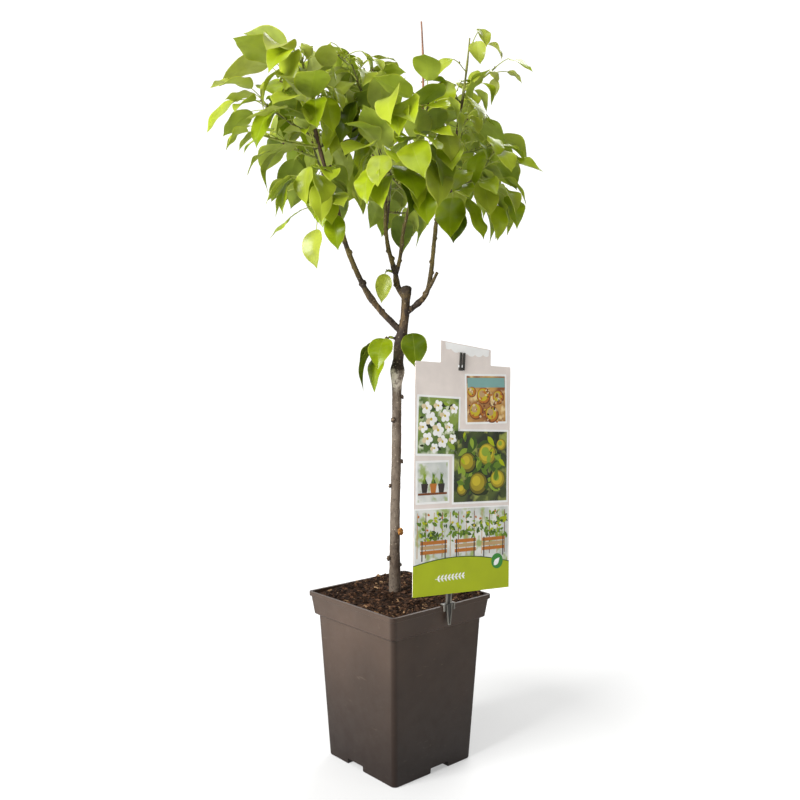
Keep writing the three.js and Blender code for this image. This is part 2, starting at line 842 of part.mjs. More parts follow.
// A mass as its stem, twigs and leaves, worked out by the seeded rule
function growMass(mass) {
  const random = seeded(mass.seed)
  const stem = stems.find((entry) => entry.mass === mass).course
  const grown = mass.shoots.map((shoot) => ({ shoot, course: shootCourse(mass, stem, shoot) }))
  const kept = grown.filter(({ course }) => course)
  const twigs = kept.map(({ course }) => course)
  const wood = [stem, ...twigs].flatMap((course) => course.slice(1).map((end, i) => [course[i], end]))
  const leaves = []
  for (const { shoot, course } of kept) {
    growLeaves(mass, shoot, course, wood, leaves, random)
  }
  return { mass, stem, twigs, leaves }
}

function buildMass({ mass, stem, twigs, leaves }) {
  const taper = (radius, course) => course.map((_, i) => radius * (1 - (twigRule.taper * i) / (course.length - 1)))
  const shootRadius = Math.min(twigRule.shootRadius, mass.radius * twigRule.shootPart)
  const pieces = [tube(stem, taper(mass.radius, stem), twigRule.stemSides)]
  for (const course of twigs) {
    pieces.push(tube(course, taper(shootRadius, course), twigRule.shootSides))
  }
  for (const leaf of leaves) {
    pieces.push(leafGeometry(leaf))
  }
  return wholeOf(joined(pieces))
}

// Label and its clip

function buildCard() {
  const outline = new THREE.Shape()
  const right = label.left + label.width
  const top = label.foot + label.height
  outline.moveTo(label.left, label.foot)
  outline.lineTo(right, label.foot)
  outline.lineTo(right, top)
  outline.lineTo(label.tabLeft + label.tabWidth, top)
  outline.lineTo(label.tabLeft + label.tabWidth, top + label.tabRise - label.tabDrop)
  outline.lineTo(label.tabLeft, top + label.tabRise)
  outline.lineTo(label.tabLeft, top)
  outline.lineTo(label.left, top)
  const slot = new THREE.Path()
  const middle = Math.tan(radians(clip.stemTilt)) * slotFoot()
  const half = clip.width / 2 + 1
  slot.moveTo(middle - half, slotFoot() - 1)
  slot.lineTo(middle + half, slotFoot() - 1)
  slot.lineTo(middle + half, slotFoot() + label.slotHeight)
  slot.lineTo(middle - half, slotFoot() + label.slotHeight)
  outline.holes.push(slot)
  const card = new THREE.ExtrudeGeometry(outline, { depth: label.thickness, bevelEnabled: false })
  return card.rotateX(Math.PI / 2)
}

function slotFoot() {
  return clip.length - clip.prongLength - label.slotHeight
}

// Stem behind the card, passing through its slot into two prongs
function clipStem() {
  const back = clearance + clip.depth / 2
  const front = -label.thickness - clearance - 0.8
  const shaftLength = slotFoot() + label.slotHeight - 3
  const reach = back + clip.depth / 2 - front + 0.8
  const pieces = [
    box(clip.width, clip.depth, shaftLength + 0.6, 0, back, shaftLength / 2 - 0.3),
    box(clip.width - 1, reach, 4, 0, back + clip.depth / 2 - reach / 2, slotFoot() + 2)
  ]
  for (const side of [-1, 1]) {
    const x = (side * (clip.width - clip.prongWidth + 0.8)) / 2
    pieces.push(box(clip.prongWidth, 1.6, clip.prongLength + 8, x, front, slotFoot() + clip.prongLength / 2 + 4))
  }
  return pieces.map((piece) => piece.rotateY(radians(clip.stemTilt)))
}

// Saddle over the rim with hooks and a pointed blade in front of it
function clipSaddle() {
  const outside = -pot.rimHalf - clearance - 1.1
  const inside = -pot.collarTop + pot.wall + clearance + 1
  const top = pot.height + clearance
  const x = label.place[0]
  const blade = new THREE.CylinderGeometry(clip.bladeTop, clip.bladeTip, clip.bladeLength, 4, 1).rotateY(Math.PI / 4)
  blade.scale(1, 1, 0.17).rotateX(Math.PI / 2).translate(x, outside, top - clip.bladeLength / 2 + 1)
  const pieces = [
    box(2 * clip.hookReach - 4, inside - outside + 2, 2.4, x, (inside + outside) / 2, top + 1.2),
    box(clip.width, 2, 5, x, inside, top - 2.4),
    blade
  ]
  for (const side of [-1, 1]) {
    pieces.push(box(3, 2.2, clip.hookLength, x + side * (clip.hookReach - 3.5), outside, top + 2.4 - clip.hookLength / 2))
  }
  return pieces
}

// Colours and finishes of the real surfaces
const looks = {
  pot: { color: '#4a423c', roughness: 0.55 },
  soil: { color: '#35241a', roughness: 0.95 },
  bark: { color: '#6b5a49', roughness: 0.85 },
  foliage: { color: '#6f9a2a', roughness: 0.5 },
  card: { color: '#cfc8be', roughness: 0.4 },
  clip: { color: '#4b4a45', roughness: 0.5 }
}

// The planter's frame is turned about Z, with the label's frame standing on its rim
const planter = new THREE.Group()
planter.rotation.z = radians(pot.turn)
planter.add(named('pot', geometryOf(buildPot()), looks.pot))
planter.add(named('soil', geometryOf(buildSoil()), looks.soil))

const labelFrame = new THREE.Group()
labelFrame.position.set(...label.place)
labelFrame.rotation.set(radians(-label.lean), radians(label.tilt), radians(label.turn), 'ZXY')
labelFrame.add(named('label_card', buildCard(), looks.card))
labelFrame.updateMatrix()
planter.add(labelFrame)

const stemPieces = clipStem().map((piece) => piece.applyMatrix4(labelFrame.matrix))
planter.add(named('label_clip', geometryOf(wholeOf(joined([...stemPieces, ...clipSaddle()]))), looks.clip))

const tree = new THREE.Group()
for (const [name, solid] of Object.entries(buildLimbs())) {
  tree.add(named(name, geometryOf(solid), looks.bark))
}
for (const mass of masses) {
  tree.add(named(mass.name, geometryOf(buildMass(growMass(mass))), looks.foliage))
}

const plant = new THREE.Group()
plant.add(planter, tree)

export default plant
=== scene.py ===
# A young pear tree in a square nursery pot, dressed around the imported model.
# Lengths are in millimetres and are turned to metres where a mesh is made. Materials, lights and camera
# are in metres.
import math

import bmesh
import bpy
import numpy as np
from mathutils import Matrix, Vector, noise


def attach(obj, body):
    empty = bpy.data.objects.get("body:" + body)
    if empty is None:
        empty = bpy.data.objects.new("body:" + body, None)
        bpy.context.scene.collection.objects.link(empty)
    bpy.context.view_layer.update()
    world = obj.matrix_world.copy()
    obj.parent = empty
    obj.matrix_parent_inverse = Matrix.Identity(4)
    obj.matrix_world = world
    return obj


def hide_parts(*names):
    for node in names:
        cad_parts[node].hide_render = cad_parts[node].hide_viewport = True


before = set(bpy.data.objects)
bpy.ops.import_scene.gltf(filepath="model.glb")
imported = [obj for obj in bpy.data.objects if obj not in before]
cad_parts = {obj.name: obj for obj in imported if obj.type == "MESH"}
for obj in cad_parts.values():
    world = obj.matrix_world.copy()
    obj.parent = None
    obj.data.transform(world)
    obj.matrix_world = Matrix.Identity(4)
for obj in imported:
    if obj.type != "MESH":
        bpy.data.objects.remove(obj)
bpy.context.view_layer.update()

mm = 0.001
scene = bpy.context.scene


# Meshes

def newObject(name, data, materials=()):
    for material in materials:
        data.materials.append(material)
    piece = bpy.data.objects.new(name, data)
    scene.collection.objects.link(piece)
    return piece


def objectFrom(name, shape, materials=()):
    # an object in metres from a bmesh in millimetres
    bmesh.ops.scale(shape, vec=(mm, mm, mm), verts=shape.verts)
    mesh = bpy.data.meshes.new(name)
    shape.to_mesh(mesh)
    shape.free()
    return newObject(name, mesh, materials)


def objectFromParts(name, points, faces, slots, materials):
    # an object in metres from lists of arrays in millimetres; all faces have the same number of corners
    points, faces, slots = np.concatenate(points), np.concatenate(faces), np.concatenate(slots)
    mesh = bpy.data.meshes.new(name)
    mesh.vertices.add(len(points))
    mesh.loops.add(faces.size)
    mesh.polygons.add(len(faces))
    mesh.vertices.foreach_set("co", (points * mm).astype(np.float32).ravel())
    mesh.loops.foreach_set("vertex_index", faces.astype(np.int32).ravel())
    mesh.polygons.foreach_set("loop_start", np.arange(0, faces.size, faces.shape[1], dtype=np.int32))
    mesh.polygons.foreach_set("material_index", slots.astype(np.int32))
    mesh.update(calc_edges=True)
    return newObject(name, mesh, materials)


def templateArrays(shape):
    # points and faces of a small bmesh whose faces have equal corner counts, and which is then freed
    shape.verts.ensure_lookup_table()
    points = np.array([vert.co[:] for vert in shape.verts])
    faces = np.array([[vert.index for vert in face.verts] for face in shape.faces])
    shape.free()
    return points, faces


def newVerts(made):
    return [item for item in made["geom"] if isinstance(item, bmesh.types.BMVert)]


def facesAt(verts):
    return {face for vert in verts for face in vert.link_faces}


def roundOff(shape, parts, radius, segments, affect="EDGES"):
    bmesh.ops.bevel(shape, geom=parts, offset=radius, offset_type="OFFSET", affect=affect, segments=segments,
                    profile=0.5, material=-1)


def addBox(shape, size, matrix):
    # a box of a size about a place, and its edges
    made = bmesh.ops.create_cube(shape, size=1, matrix=matrix @ Matrix.Diagonal((*size, 1)))
    return list({edge for vert in made["verts"] for edge in vert.link_edges})


def addModifier(piece, kind, **values):
    modifier = piece.modifiers.new(kind.title(), kind)
    for key, value in values.items():
        setattr(modifier, key, value)


def addCut(piece, cutter):
    addModifier(piece, "BOOLEAN", object=cutter, operation="DIFFERENCE", solver="EXACT")


def bakeModifiers(piece, *cutters):
    # the mesh that the modifiers make, without the objects that cut it
    graph = bpy.context.evaluated_depsgraph_get()
    mesh = bpy.data.meshes.new_from_object(piece.evaluated_get(graph))
    piece.modifiers.clear()
    piece.data = mesh
    for cutter in cutters:
        bpy.data.objects.remove(cutter)


def shadeSmooth(piece, angle=None):
    # smooth all over, or apart from the edges that are sharper than an angle in degrees
    mesh = piece.data
    mesh.polygons.foreach_set("use_smooth", [True] * len(mesh.polygons))
    if angle:
        mesh.set_sharp_from_angle(angle=math.radians(angle))


def finishPiece(piece, slot, *nodes):
    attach(piece, "root")
    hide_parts(*nodes)


# Materials

class Nodes:
    # a node tree, with short calls for what the finishes here are made of

    def __init__(self, owner):
        owner.use_nodes = True
        self.tree = owner.node_tree

    def link(self, value, socket):
        # a value or another node's output put into a socket
        if isinstance(value, bpy.types.NodeSocket):
            self.tree.links.new(value, socket)
        else:
            socket.default_value = value

    def add(self, kind, inputs=None, **settings):
        node = self.tree.nodes.new(kind)
        for key, value in settings.items():
            setattr(node, key, value)
        for key, value in (inputs or {}).items():
            self.link(value, node.inputs[key])
        return node

    def place(self, stretch=(1, 1, 1), turn=(0, 0, 0)):
        # object coordinates, stretched and turned
        coordinates = self.add("ShaderNodeTexCoord").outputs["Object"]
        mapping = self.add("ShaderNodeMapping", {"Scale": stretch, "Rotation": turn, "Vector": coordinates})
        return mapping.outputs["Vector"]

    def along(self, axis, place=None):
        # one of a place's coordinates in metres, the object's own if no place is given
        return self.add("ShaderNodeSeparateXYZ", {"Vector": place or self.place()}).outputs[axis]

    def height(self):
        return self.along("Z")

    def vector(self, operation, *values):
        inputs = dict(enumerate(values))
        return self.add("ShaderNodeVectorMath", inputs, operation=operation).outputs["Value"]

    def noise(self, scale, detail=4, roughness=0.55, stretch=(1, 1, 1), distortion=0):
        inputs = {"Scale": scale, "Detail": detail, "Roughness": roughness, "Distortion": distortion}
        return self.add("ShaderNodeTexNoise", {"Vector": self.place(stretch), **inputs}).outputs["Fac"]

    def band(self, value, low, high, start=0.0, end=1.0):
        # value spread from low..high to start..end, held at the ends
        inputs = {"From Min": low, "From Max": high, "To Min": start, "To Max": end, "Value": value}
        return self.add("ShaderNodeMapRange", inputs).outputs["Result"]

    def pattern(self, grain, spread):
        # a noise spread over a band, both given by their values
        return self.band(self.noise(*grain), *spread)

    def zone(self, value, low, full, past, high):
        # 1 between full and past, falling to 0 at low and high
        return self.times(self.band(value, low, full), self.band(value, high, past))

    def math(self, operation, *values):
        return self.add("ShaderNodeMath", dict(enumerate(values)), operation=operation).outputs["Value"]

    def times(self, first, second):
        return self.math("MULTIPLY", first, second)

    def mix(self, factor, first, second):
        # two colours, each a link or screen values
        inputs = {"Factor": factor}
        for key, colour in (("A", first), ("B", second)):
            inputs[key] = linear(colour) if isinstance(colour, tuple) else colour
        return self.add("ShaderNodeMix", inputs, data_type="RGBA").outputs["Result"]

    def mixShader(self, factor, first, second):
        return self.add("ShaderNodeMixShader", {"Fac": factor, 1: first, 2: second}).outputs["Shader"]

    def bump(self, height, distance, strength, below=None):
        inputs = {"Strength": strength, "Distance": distance, "Height": height}
        if below is not None:
            inputs["Normal"] = below
        return self.add("ShaderNodeBump", inputs).outputs["Normal"]


class Finish(Nodes):
    # a material with its principled shader

    def __init__(self, name, roughness, specular):
        self.material = bpy.data.materials.new(name)
        super().__init__(self.material)
        self.shader = self.tree.nodes["Principled BSDF"]
        self.link(roughness, self.shader.inputs["Roughness"])
        self.link(specular, self.shader.inputs["Specular IOR Level"])

    def done(self, colour, normal=None):
        # the material with its colour and its bump
        self.link(colour, self.shader.inputs["Base Color"])
        if normal is not None:
            self.link(normal, self.shader.inputs["Normal"])
        return self.material


def linear(colour):
    # screen values of 0 to 255 as the linear colour a socket takes
    parts = [value / 255 for value in colour]
    return (*[part / 12.92 if part <= 0.04045 else ((part + 0.055) / 1.055) ** 2.4 for part in parts], 1.0)


def blended(first, second, share):
    return tuple(a * (1 - share) + b * share for a, b in zip(first, second))


def shaded(colour, share):
    return tuple(value * share for value in colour)


def cloudedMaterial(name, dark, light, gloss, cloud, spread, grain, relief):
    # two colours in clouds over a fine grain; gloss is roughness and specular, relief depth and strength
    nodes = Finish(name, *gloss)
    colour = nodes.mix(nodes.band(nodes.noise(*cloud), *spread), dark, light)
    return nodes.done(colour, nodes.bump(nodes.noise(*grain), *relief))


# Growth rule of the tree, in millimetres, the same as in the source of the solids

clearance = 0.3
groundLevel = 244.8
limbs = {
    "trunk": {
        "knots": [(-6.8, 2, groundLevel), (-6.2, 2, 350), (-4, 2, 465), (-3.2, 0, 560), (0.8, 0, 607),
                  (7.6, 0, 645), (10.3, 0, 690)],
        "foot": 7.2, "tip": 5.6, "rings": 30,
        "swellings": [(0, 1.2, 0.09), (0.525, 3.6, 0.036), (0.68, 2.2, 0.09), (1, 1.8, 0.05)]},
    "left_bough": {
        "knots": [(2, 0, 628), (-29, -4, 660), (-52, -10, 694), (-75.5, -17, 749), (-89.5, -24, 806),
                  (-104, -30, 856)],
        "foot": 5.2, "tip": 3, "rings": 14,
        "swellings": [(0.3, 1.3, 0.03), (0.75, 0.8, 0.02)]},
    "centre_bough": {
        "knots": [(8, 0, 676), (-2.5, 9, 694), (-6, 16, 714), (-15.5, 25, 748), (-20, 34, 782),
                  (-20, 44, 818)],
        "foot": 4.9, "tip": 2.7, "rings": 12,
        "swellings": [(0.27, 0.9, 0.05), (0.44, 1, 0.03)]},
    "inner_bough": {
        "knots": [(-4, 16, 713), (2, 11, 740), (6, 2, 772), (16, -12, 812)],
        "foot": 3.5, "tip": 2.4, "rings": 7,
        "swellings": [(0.5, 0.5, 0.04)]},
    "right_bough": {
        "knots": [(8, 0, 653), (28, 2, 669), (40.5, 6, 686), (47.5, 10, 724), (54, 16, 786),
                  (64, 22, 832), (74, 25, 872)],
        "foot": 4.6, "tip": 2.6, "rings": 14,
        "swellings": [(0.16, 1, 0.03), (0.76, 0.7, 0.02)]},
}
cutStub = {
    "knots": [(39.5, 5.5, 685), (47.5, 2.5, 698), (55, -2, 712.5)], "foot": 3.2, "tip": 2.2, "rings": 3,
    "swellings": [],
}
stubLength = 4.5
stubLook = 0.97
bud = {"radius": 2.6, "length": 3.8, "lift": 12}
# knobs on the trunk: height, azimuth and size
buds = [(284, 350, 0.7), (294, 203, 1.15), (334, 325, 1.5), (401, 200, 0.95), (437, 345, 0.95),
        (498, 233, 1.1), (531, 350, 0.9)]

leafRule = {
    "length": 60, "lengthPart": (0.86, 0.28), "breadth": 0.68,
    "stalk": 30, "stalkPart": (0.7, 0.6), "stalkRise": 0.12, "knee": 0.6, "kneeEnd": 0.4,
    "fold": 11, "foldPart": (0.5, 1), "droop": (0.5, 1.4), "curl": (0.08, 0.26), "roll": 50,
    "rows": (0.1, 0.42, 0.78), "firstRow": 0.02, "stalkTests": (0.35, 0.65, 1),
    "goldenAngle": 137.508, "turnSpread": 50,
    "open": 66, "openDrop": 40, "openSpread": 16,
    "attempts": 14, "attemptTurn": 47, "clear": 1.3,
}
twigRule = {
    "stemSteps": 5, "stemKnee": 0.45, "shootSteps": 2, "shootKnee": 0.55, "sag": 0.06,
    "shootRadius": 1.7, "shootPart": 0.8, "taper": 0.5,
    "clear": 2.2, "short": 25, "firstLeaf": 0.42, "firstLeafShort": 0.7,
}
spaceMargin = 1.2
nearby = 140

# each mass: its limb and the place on it, the stem's azimuth, lift, length and rise, and the shoots as
# place on the stem, azimuth, lift, length, leaves and their size, and where it isn't 1 the stalks' size
masses = {
    "foliage_left_top": {
        "limb": "left_bough", "at": 1, "stem": (205, 76, 138, 0.1), "radius": 2.8,
        "heart": (-165, -60, 945), "seed": 53,
        "shoots": [(0.3, 183, 33, 92, 6, 1), (0.22, 196, 8, 82, 5, 0.75), (0.42, 262, 12, 34, 6, 1.15),
                   (0.75, 176, 16, 37, 4, 1.15), (0.95, 225, 16, 8, 4, 1),
                   (0.5, 342, 65, 36, 3, 0.85), (0.74, 100, 16, 34, 5, 1),
                   (0.23, 217, 17, 10, 3, 0.82), (0.57, 299, 18, 18, 3, 0.83)]},
    "foliage_left_low": {
        "limb": "left_bough", "at": 0.8, "stem": (222, 20, 32, 0.1), "radius": 2.3,
        "heart": (-135, -60, 805), "seed": 87,
        "shoots": [(0.21, 300, -20, 11, 3, 0.85), (0.28, 230, -40, 22, 2, 0.9),
                   (0.95, 254, 34, 18, 5, 0.9), (0.72, 147, 42, 27, 6, 0.75),
                   (0.76, 262, 18, 22, 4, 0.8), (0.8, 255, 28, 23, 3, 0.9)]},
    "foliage_left_back": {
        "limb": "left_bough", "at": 0.86, "stem": (112, 34, 112, 0.2), "radius": 2.4,
        "heart": (-130, 100, 890), "seed": 7,
        "shoots": [(0.35, 170, 10, 34, 5, 1), (0.55, 60, 15, 26, 5, 0.95), (0.75, 185, 22, 52, 6, 1),
                   (0.98, 110, 40, 22, 7, 1.05), (0.9, 40, 30, 40, 5, 1)]},
    "foliage_centre_top": {
        "limb": "centre_bough", "at": 1, "stem": (205, 73, 186, 0.1), "radius": 2.6,
        "heart": (-45, 45, 938), "seed": 199,
        "shoots": [(0.46, 277, 20, 64, 6, 1), (0.56, 206, 30, 34, 5, 1), (0.49, 330, 30, 40, 6, 1),
                   (0.78, 250, 34, 36, 6, 1.1), (0.98, 150, 40, 30, 6, 1.1),
                   (0.9, 32, 38, 30, 5, 1.15), (0.59, 277, 0, 28, 4, 0.97),
                   (0.52, 257, -15, 37, 4, 1.02)]},
    "foliage_centre_back": {
        "limb": "centre_bough", "at": 0.78, "stem": (86, 36, 118, 0.25), "radius": 2.3,
        "heart": (-10, 145, 880), "seed": 93,
        "shoots": [(0.35, 20, 0, 26, 5, 0.9), (0.5, 160, 32, 28, 5, 0.9), (0.75, 60, 12, 36, 6, 1.05),
                   (0.98, 100, 42, 42, 8, 1.15), (0.91, 140, 41, 25, 4, 0.95)]},
    "foliage_front": {
        "limb": "inner_bough", "at": 1, "stem": (297, 82, 228, 0.065), "radius": 2.4,
        "heart": (10, -85, 870), "seed": 43,
        "shoots": [(0.03, 236, 24, 84, 7, 1.1), (0.06, 292, 10, 40, 6, 1), (0.12, 205, 28, 70, 6, 1.1),
                   (0.2, 262, 18, 66, 6, 1.15), (0.28, 325, 18, 56, 6, 1),
                   (0.4, 232, 28, 54, 6, 1.1), (0.47, 285, 32, 38, 6, 1),
                   (0.44, 23, -6, 26, 4, 0.9), (0.6, 208, 35, 24, 4, 0.9)]},
    "foliage_right_top": {
        "limb": "right_bough", "at": 1, "stem": (20, 80, 178, 0.05), "radius": 2.3,
        "heart": (110, 20, 965), "seed": 111,
        "shoots": [(0.2, 223, 25, 42, 5, 1.05), (0.3, 300, 20, 27, 6, 0.95), (0.48, 85, 30, 39, 5, 0.85),
                   (0.52, 200, 36, 23, 5, 0.9), (0.62, 344, 32, 53, 1, 0.67),
                   (0.93, 310, 30, 8, 1, 0.62)]},
    "foliage_right_low": {
        "limb": "right_bough", "at": 0.82, "stem": (335, 14, 44, 0.1), "radius": 2.2,
        "heart": (135, -35, 825), "seed": 242,
        "shoots": [(0.2, 275, -12, 13, 4, 1.05), (0.84, 337, -16, 34, 6, 0.8),
                   (0.98, 320, 46, 46, 6, 0.85), (0.6, 318, 32, 34, 7, 0.95),
                   (0.5, 33, 8, 36, 6, 0.9)]},
    "foliage_right_back": {
        "limb": "right_bough", "at": 0.86, "stem": (72, 34, 104, 0.2), "radius": 2.2,
        "heart": (110, 120, 875), "seed": 71,
        "shoots": [(0.4, 0, 13, 27, 5, 0.85), (0.49, 122, 18, 26, 5, 0.95), (0.8, 15, 16, 56, 6, 0.95),
                   (0.55, 111, 14, 36, 4, 0.94), (0.98, 65, 65, 24, 7, 1.1)]},
    "sprig_hanging": {
        "limb": "centre_bough", "at": 0.4, "stem": (215, 10, 5, 0), "radius": 1.6,
        "heart": (-22, -5, 700), "seed": 488,
        "shoots": [(0.8, 223, -30, 3, 1, 0.78, 0.3)]},
    "sprig_left": {
        "limb": "trunk", "at": 0.7, "stem": (200, 15, 6, 0), "radius": 1.6,
        "heart": (-45, -20, 585), "seed": 1909,
        "shoots": [(0.8, 223, -30, 7, 4, 1.02, 0.4)]},
    "sprig_right": {
        "limb": "trunk", "at": 0.69, "stem": (345, 25, 5, 0), "radius": 1.5,
        "heart": (35, -15, 600), "seed": 1809,
        "shoots": [(0.8, 323, 40, 3, 1, 0.88, 0.3)]},
}


def unit(vector):
    return vector / np.linalg.norm(vector)


def heading(azimuth, lift):
    a, b = math.radians(azimuth), math.radians(lift)
    return np.array([math.cos(b) * math.cos(a), math.cos(b) * math.sin(a), math.sin(b)])


def turned(vector, axis, degrees):
    a = math.radians(degrees)
    along = axis * (axis @ vector) * (1 - math.cos(a))
    return vector * math.cos(a) + np.cross(axis, vector) * math.sin(a) + along


def splinePoint(knots, t):
    span = min(int(t * (len(knots) - 1)), len(knots) - 2)
    u = t * (len(knots) - 1) - span
    b, c = np.array(knots[span], float), np.array(knots[span + 1], float)
    a = np.array(knots[span - 1], float) if span > 0 else 2 * b - c
    d = np.array(knots[span + 2], float) if span < len(knots) - 2 else 2 * c - b
    return 0.5 * (2 * b + (c - a) * u + (2 * a - 5 * b + 4 * c - d) * u * u + (3 * (b - c) - a + d) * u ** 3)


def bendPoint(start, knee, end, t):
    return start * (1 - t) ** 2 + knee * 2 * t * (1 - t) + end * t * t


def bendCourse(bend, steps):
    return np.array([bendPoint(*bend, i / steps) for i in range(steps + 1)])


def coursePoint(course, t):
    span = min(int(t * (len(course) - 1)), len(course) - 2)
    part = t * (len(course) - 1) - span
    return course[span] + (course[span + 1] - course[span]) * part


def courseLines(course):
    return [(course[i], course[i + 1]) for i in range(len(course) - 1)]


def limbRadius(limb, t):
    radius = limb["foot"] + (limb["tip"] - limb["foot"]) * t
    swelling = sum(extra * math.exp(-(((t - at) / reach) ** 2)) for at, extra, reach in limb["swellings"])
    return radius + swelling


def fractionAt(knots, height):
    # fraction along a rising limb at which its course reaches a height
    low, high = 0, 1
    for _ in range(20):
        middle = (low + high) / 2
        if splinePoint(knots, middle)[2] < height:
            low = middle
        else:
            high = middle
    return low


def limbSegments(limb):
    course = [splinePoint(limb["knots"], i / limb["rings"]) for i in range(limb["rings"] + 1)]
    return [(*line, limbRadius(limb, i / limb["rings"])) for i, line in enumerate(courseLines(course))]


def stubOf(mass):
    # foot, tip and direction of the short stub that carries a mass
    limb = limbs[mass["limb"]]
    foot = splinePoint(limb["knots"], mass["at"])
    if mass["at"] == 1:
        return foot, foot, unit(foot - splinePoint(limb["knots"], stubLook))
    direction = heading(*mass["stem"][:2])
    return foot, foot + direction * (limbRadius(limb, mass["at"]) + stubLength), direction


def stemBend(mass):
    azimuth, lift, length, rise = mass["stem"]
    tip, direction = stubOf(mass)[1:]
    start = tip + direction * clearance
    end = start + heading(azimuth, lift) * length
    end[2] += length * rise
    return start, start + direction * length * twigRule["stemKnee"], end


def seeded(seed):
    state = seed
    while True:
        state = state * 16807 % 2147483647
        yield state / 2147483647


def ranged(pair, share):
    # a pair's first number and a share of its second
    return pair[0] + pair[1] * share


def between(pair, draws):
    return ranged(pair, next(draws))


def leafOutline(t):
    return np.sin(np.pi * t ** 0.72) ** 0.85 * (1 - 0.35 * t ** 5)


def leafPoints(leaf, t, across):
    # points on a leaf's middle surface, t from base to tip and across from -1 to 1
    half = leaf["length"] * leafRule["breadth"] * 0.5 * leafOutline(t) * np.abs(across)
    rise = half * math.sin(leaf["fold"]) - leaf["curl"] * leaf["length"] * t * t
    return (leaf["base"] + np.outer(leaf["length"] * t, leaf["along"])
            + np.outer(np.sign(across) * half * math.cos(leaf["fold"]), leaf["side"])
            + np.outer(rise, leaf["face"]))


stations = np.array([leafRule["firstRow"], *leafRule["rows"], 1.0])


def measureLeaf(leaf):
    # the leaf's edges and triangles for the tests that keep leaves apart
    left, middle, right = [leafPoints(leaf, stations, np.full(len(stations), float(side)))
                           for side in (-1, 0, 1)]
    edges = [(leaf["place"], leaf["base"])]
    for line in (left, middle, right):
        edges += courseLines(line)
    triangles = []
    for i in range(len(stations) - 1):
        for line in (left, right):
            triangles += [(middle[i], middle[i + 1], line[i + 1]), (middle[i], line[i + 1], line[i])]
    leaf["edges"] = np.array(edges)
    leaf["triangles"] = np.array(triangles)
    leaf["middle"] = leafPoints(leaf, np.array([0.5]), np.array([0.0]))[0]
    stalk = [bendPoint(leaf["place"], leaf["knee"], leaf["base"], t) for t in leafRule["stalkTests"]]
    leaf["points"] = np.concatenate([leaf["edges"].reshape(-1, 3), stalk])
    return leaf


def makeLeaf(place, stalkHeading, size, stalkSize, draws):
    droop = between(leafRule["droop"], draws)
    roll = leafRule["roll"] * (next(draws) - 0.5)
    length = leafRule["length"] * size * between(leafRule["lengthPart"], draws)
    stalk = leafRule["stalk"] * stalkSize * between(leafRule["stalkPart"], draws)
    up = np.array([0.0, 0.0, 1.0])
    level = unit(np.array([stalkHeading[0], stalkHeading[1], 0.0]))
    along = unit(stalkHeading - up * droop)
    across = np.cross(level, up)
    side = turned(across, along, roll)
    bend = unit(stalkHeading + along)
    knee = place + stalkHeading * stalk * leafRule["knee"]
    return measureLeaf({
        "place": place, "knee": knee, "base": knee + bend * stalk * leafRule["kneeEnd"],
        "along": along, "side": side, "face": np.cross(side, along), "length": length,
        "fold": math.radians(leafRule["fold"] * between(leafRule["foldPart"], draws)),
        "curl": between(leafRule["curl"], draws)})


def anyCrossing(segments, triangles):
    # whether any segment crosses any triangle
    if not len(segments) or not len(triangles):
        return False
    start = segments[:, None, 0]
    ray = segments[:, None, 1] - start
    corner = triangles[None, :, 0]
    ab, ac = triangles[None, :, 1] - corner, triangles[None, :, 2] - corner
    h = np.cross(ray, ac)
    det = (ab * h).sum(-1)
    flat = np.abs(det) < 1e-9
    det = np.where(flat, 1.0, det)
    s = start - corner
    u = (s * h).sum(-1) / det
    k = np.cross(s, ab)
    v = (ray * k).sum(-1) / det
    t = (ac * k).sum(-1) / det
    return bool((~flat & (u >= 0) & (v >= 0) & (u + v <= 1) & (t >= 0) & (t <= 1)).any())


stems = {name: bendCourse(stemBend(mass), twigRule["stemSteps"]) for name, mass in masses.items()}
limbLines = [line for limb in [*limbs.values(), cutStub] for line in limbSegments(limb)]


def obstaclesOf(name):
    # limbs and the stems of the other masses, as segments with their radii
    lines = list(limbLines)
    for other, course in stems.items():
        if other != name:
            lines += [(*line, masses[other]["radius"]) for line in courseLines(course)]
    return np.array([line[:2] for line in lines]), np.array([line[2] for line in lines])


def inSpace(points, name):
    # whether points lie nearer to the heart of their own mass than to any other's
    heart = np.array(masses[name]["heart"], float)
    own = ((points - heart) ** 2).sum(-1)
    for other, mass in masses.items():
        if other == name:
            continue
        far = np.array(mass["heart"], float)
        margin = (((points - far) ** 2).sum(-1) - own) / (2 * np.linalg.norm(far - heart))
        if not (margin > spaceMargin).all():
            return False
    return True


def clearOf(obstacles, points, triangles, margin):
    segments, radii = obstacles
    near = np.linalg.norm(segments.mean(1) - points[0], axis=-1) <= nearby
    segments, radii = segments[near], radii[near]
    if not len(segments):
        return True
    along = segments[:, 1] - segments[:, 0]
    offset = points[:, None] - segments[None, :, 0]
    t = np.clip((offset * along).sum(-1) / (along ** 2).sum(-1), 0, 1)
    distance = np.linalg.norm(offset - t[..., None] * along, axis=-1)
    return not (distance < radii + margin).any() and not anyCrossing(segments, triangles)


def twigFits(course, name, obstacles):
    free = course[1:]
    return inSpace(free, name) and clearOf(obstacles, free, np.empty((0, 3, 3)), twigRule["clear"])


def leafFits(leaf, name, obstacles, wood, leaves):
    if not inSpace(leaf["points"], name):
        return False
    if not clearOf(obstacles, leaf["points"], leaf["triangles"], leafRule["clear"]):
        return False
    near = [other for other in leaves
            if np.linalg.norm(other["middle"] - leaf["middle"]) <= other["length"] + leaf["length"]]
    if near:
        if anyCrossing(leaf["edges"], np.concatenate([other["triangles"] for other in near])):
            return False
        if anyCrossing(np.concatenate([other["edges"] for other in near]), leaf["triangles"]):
            return False
    return not anyCrossing(wood, leaf["triangles"])


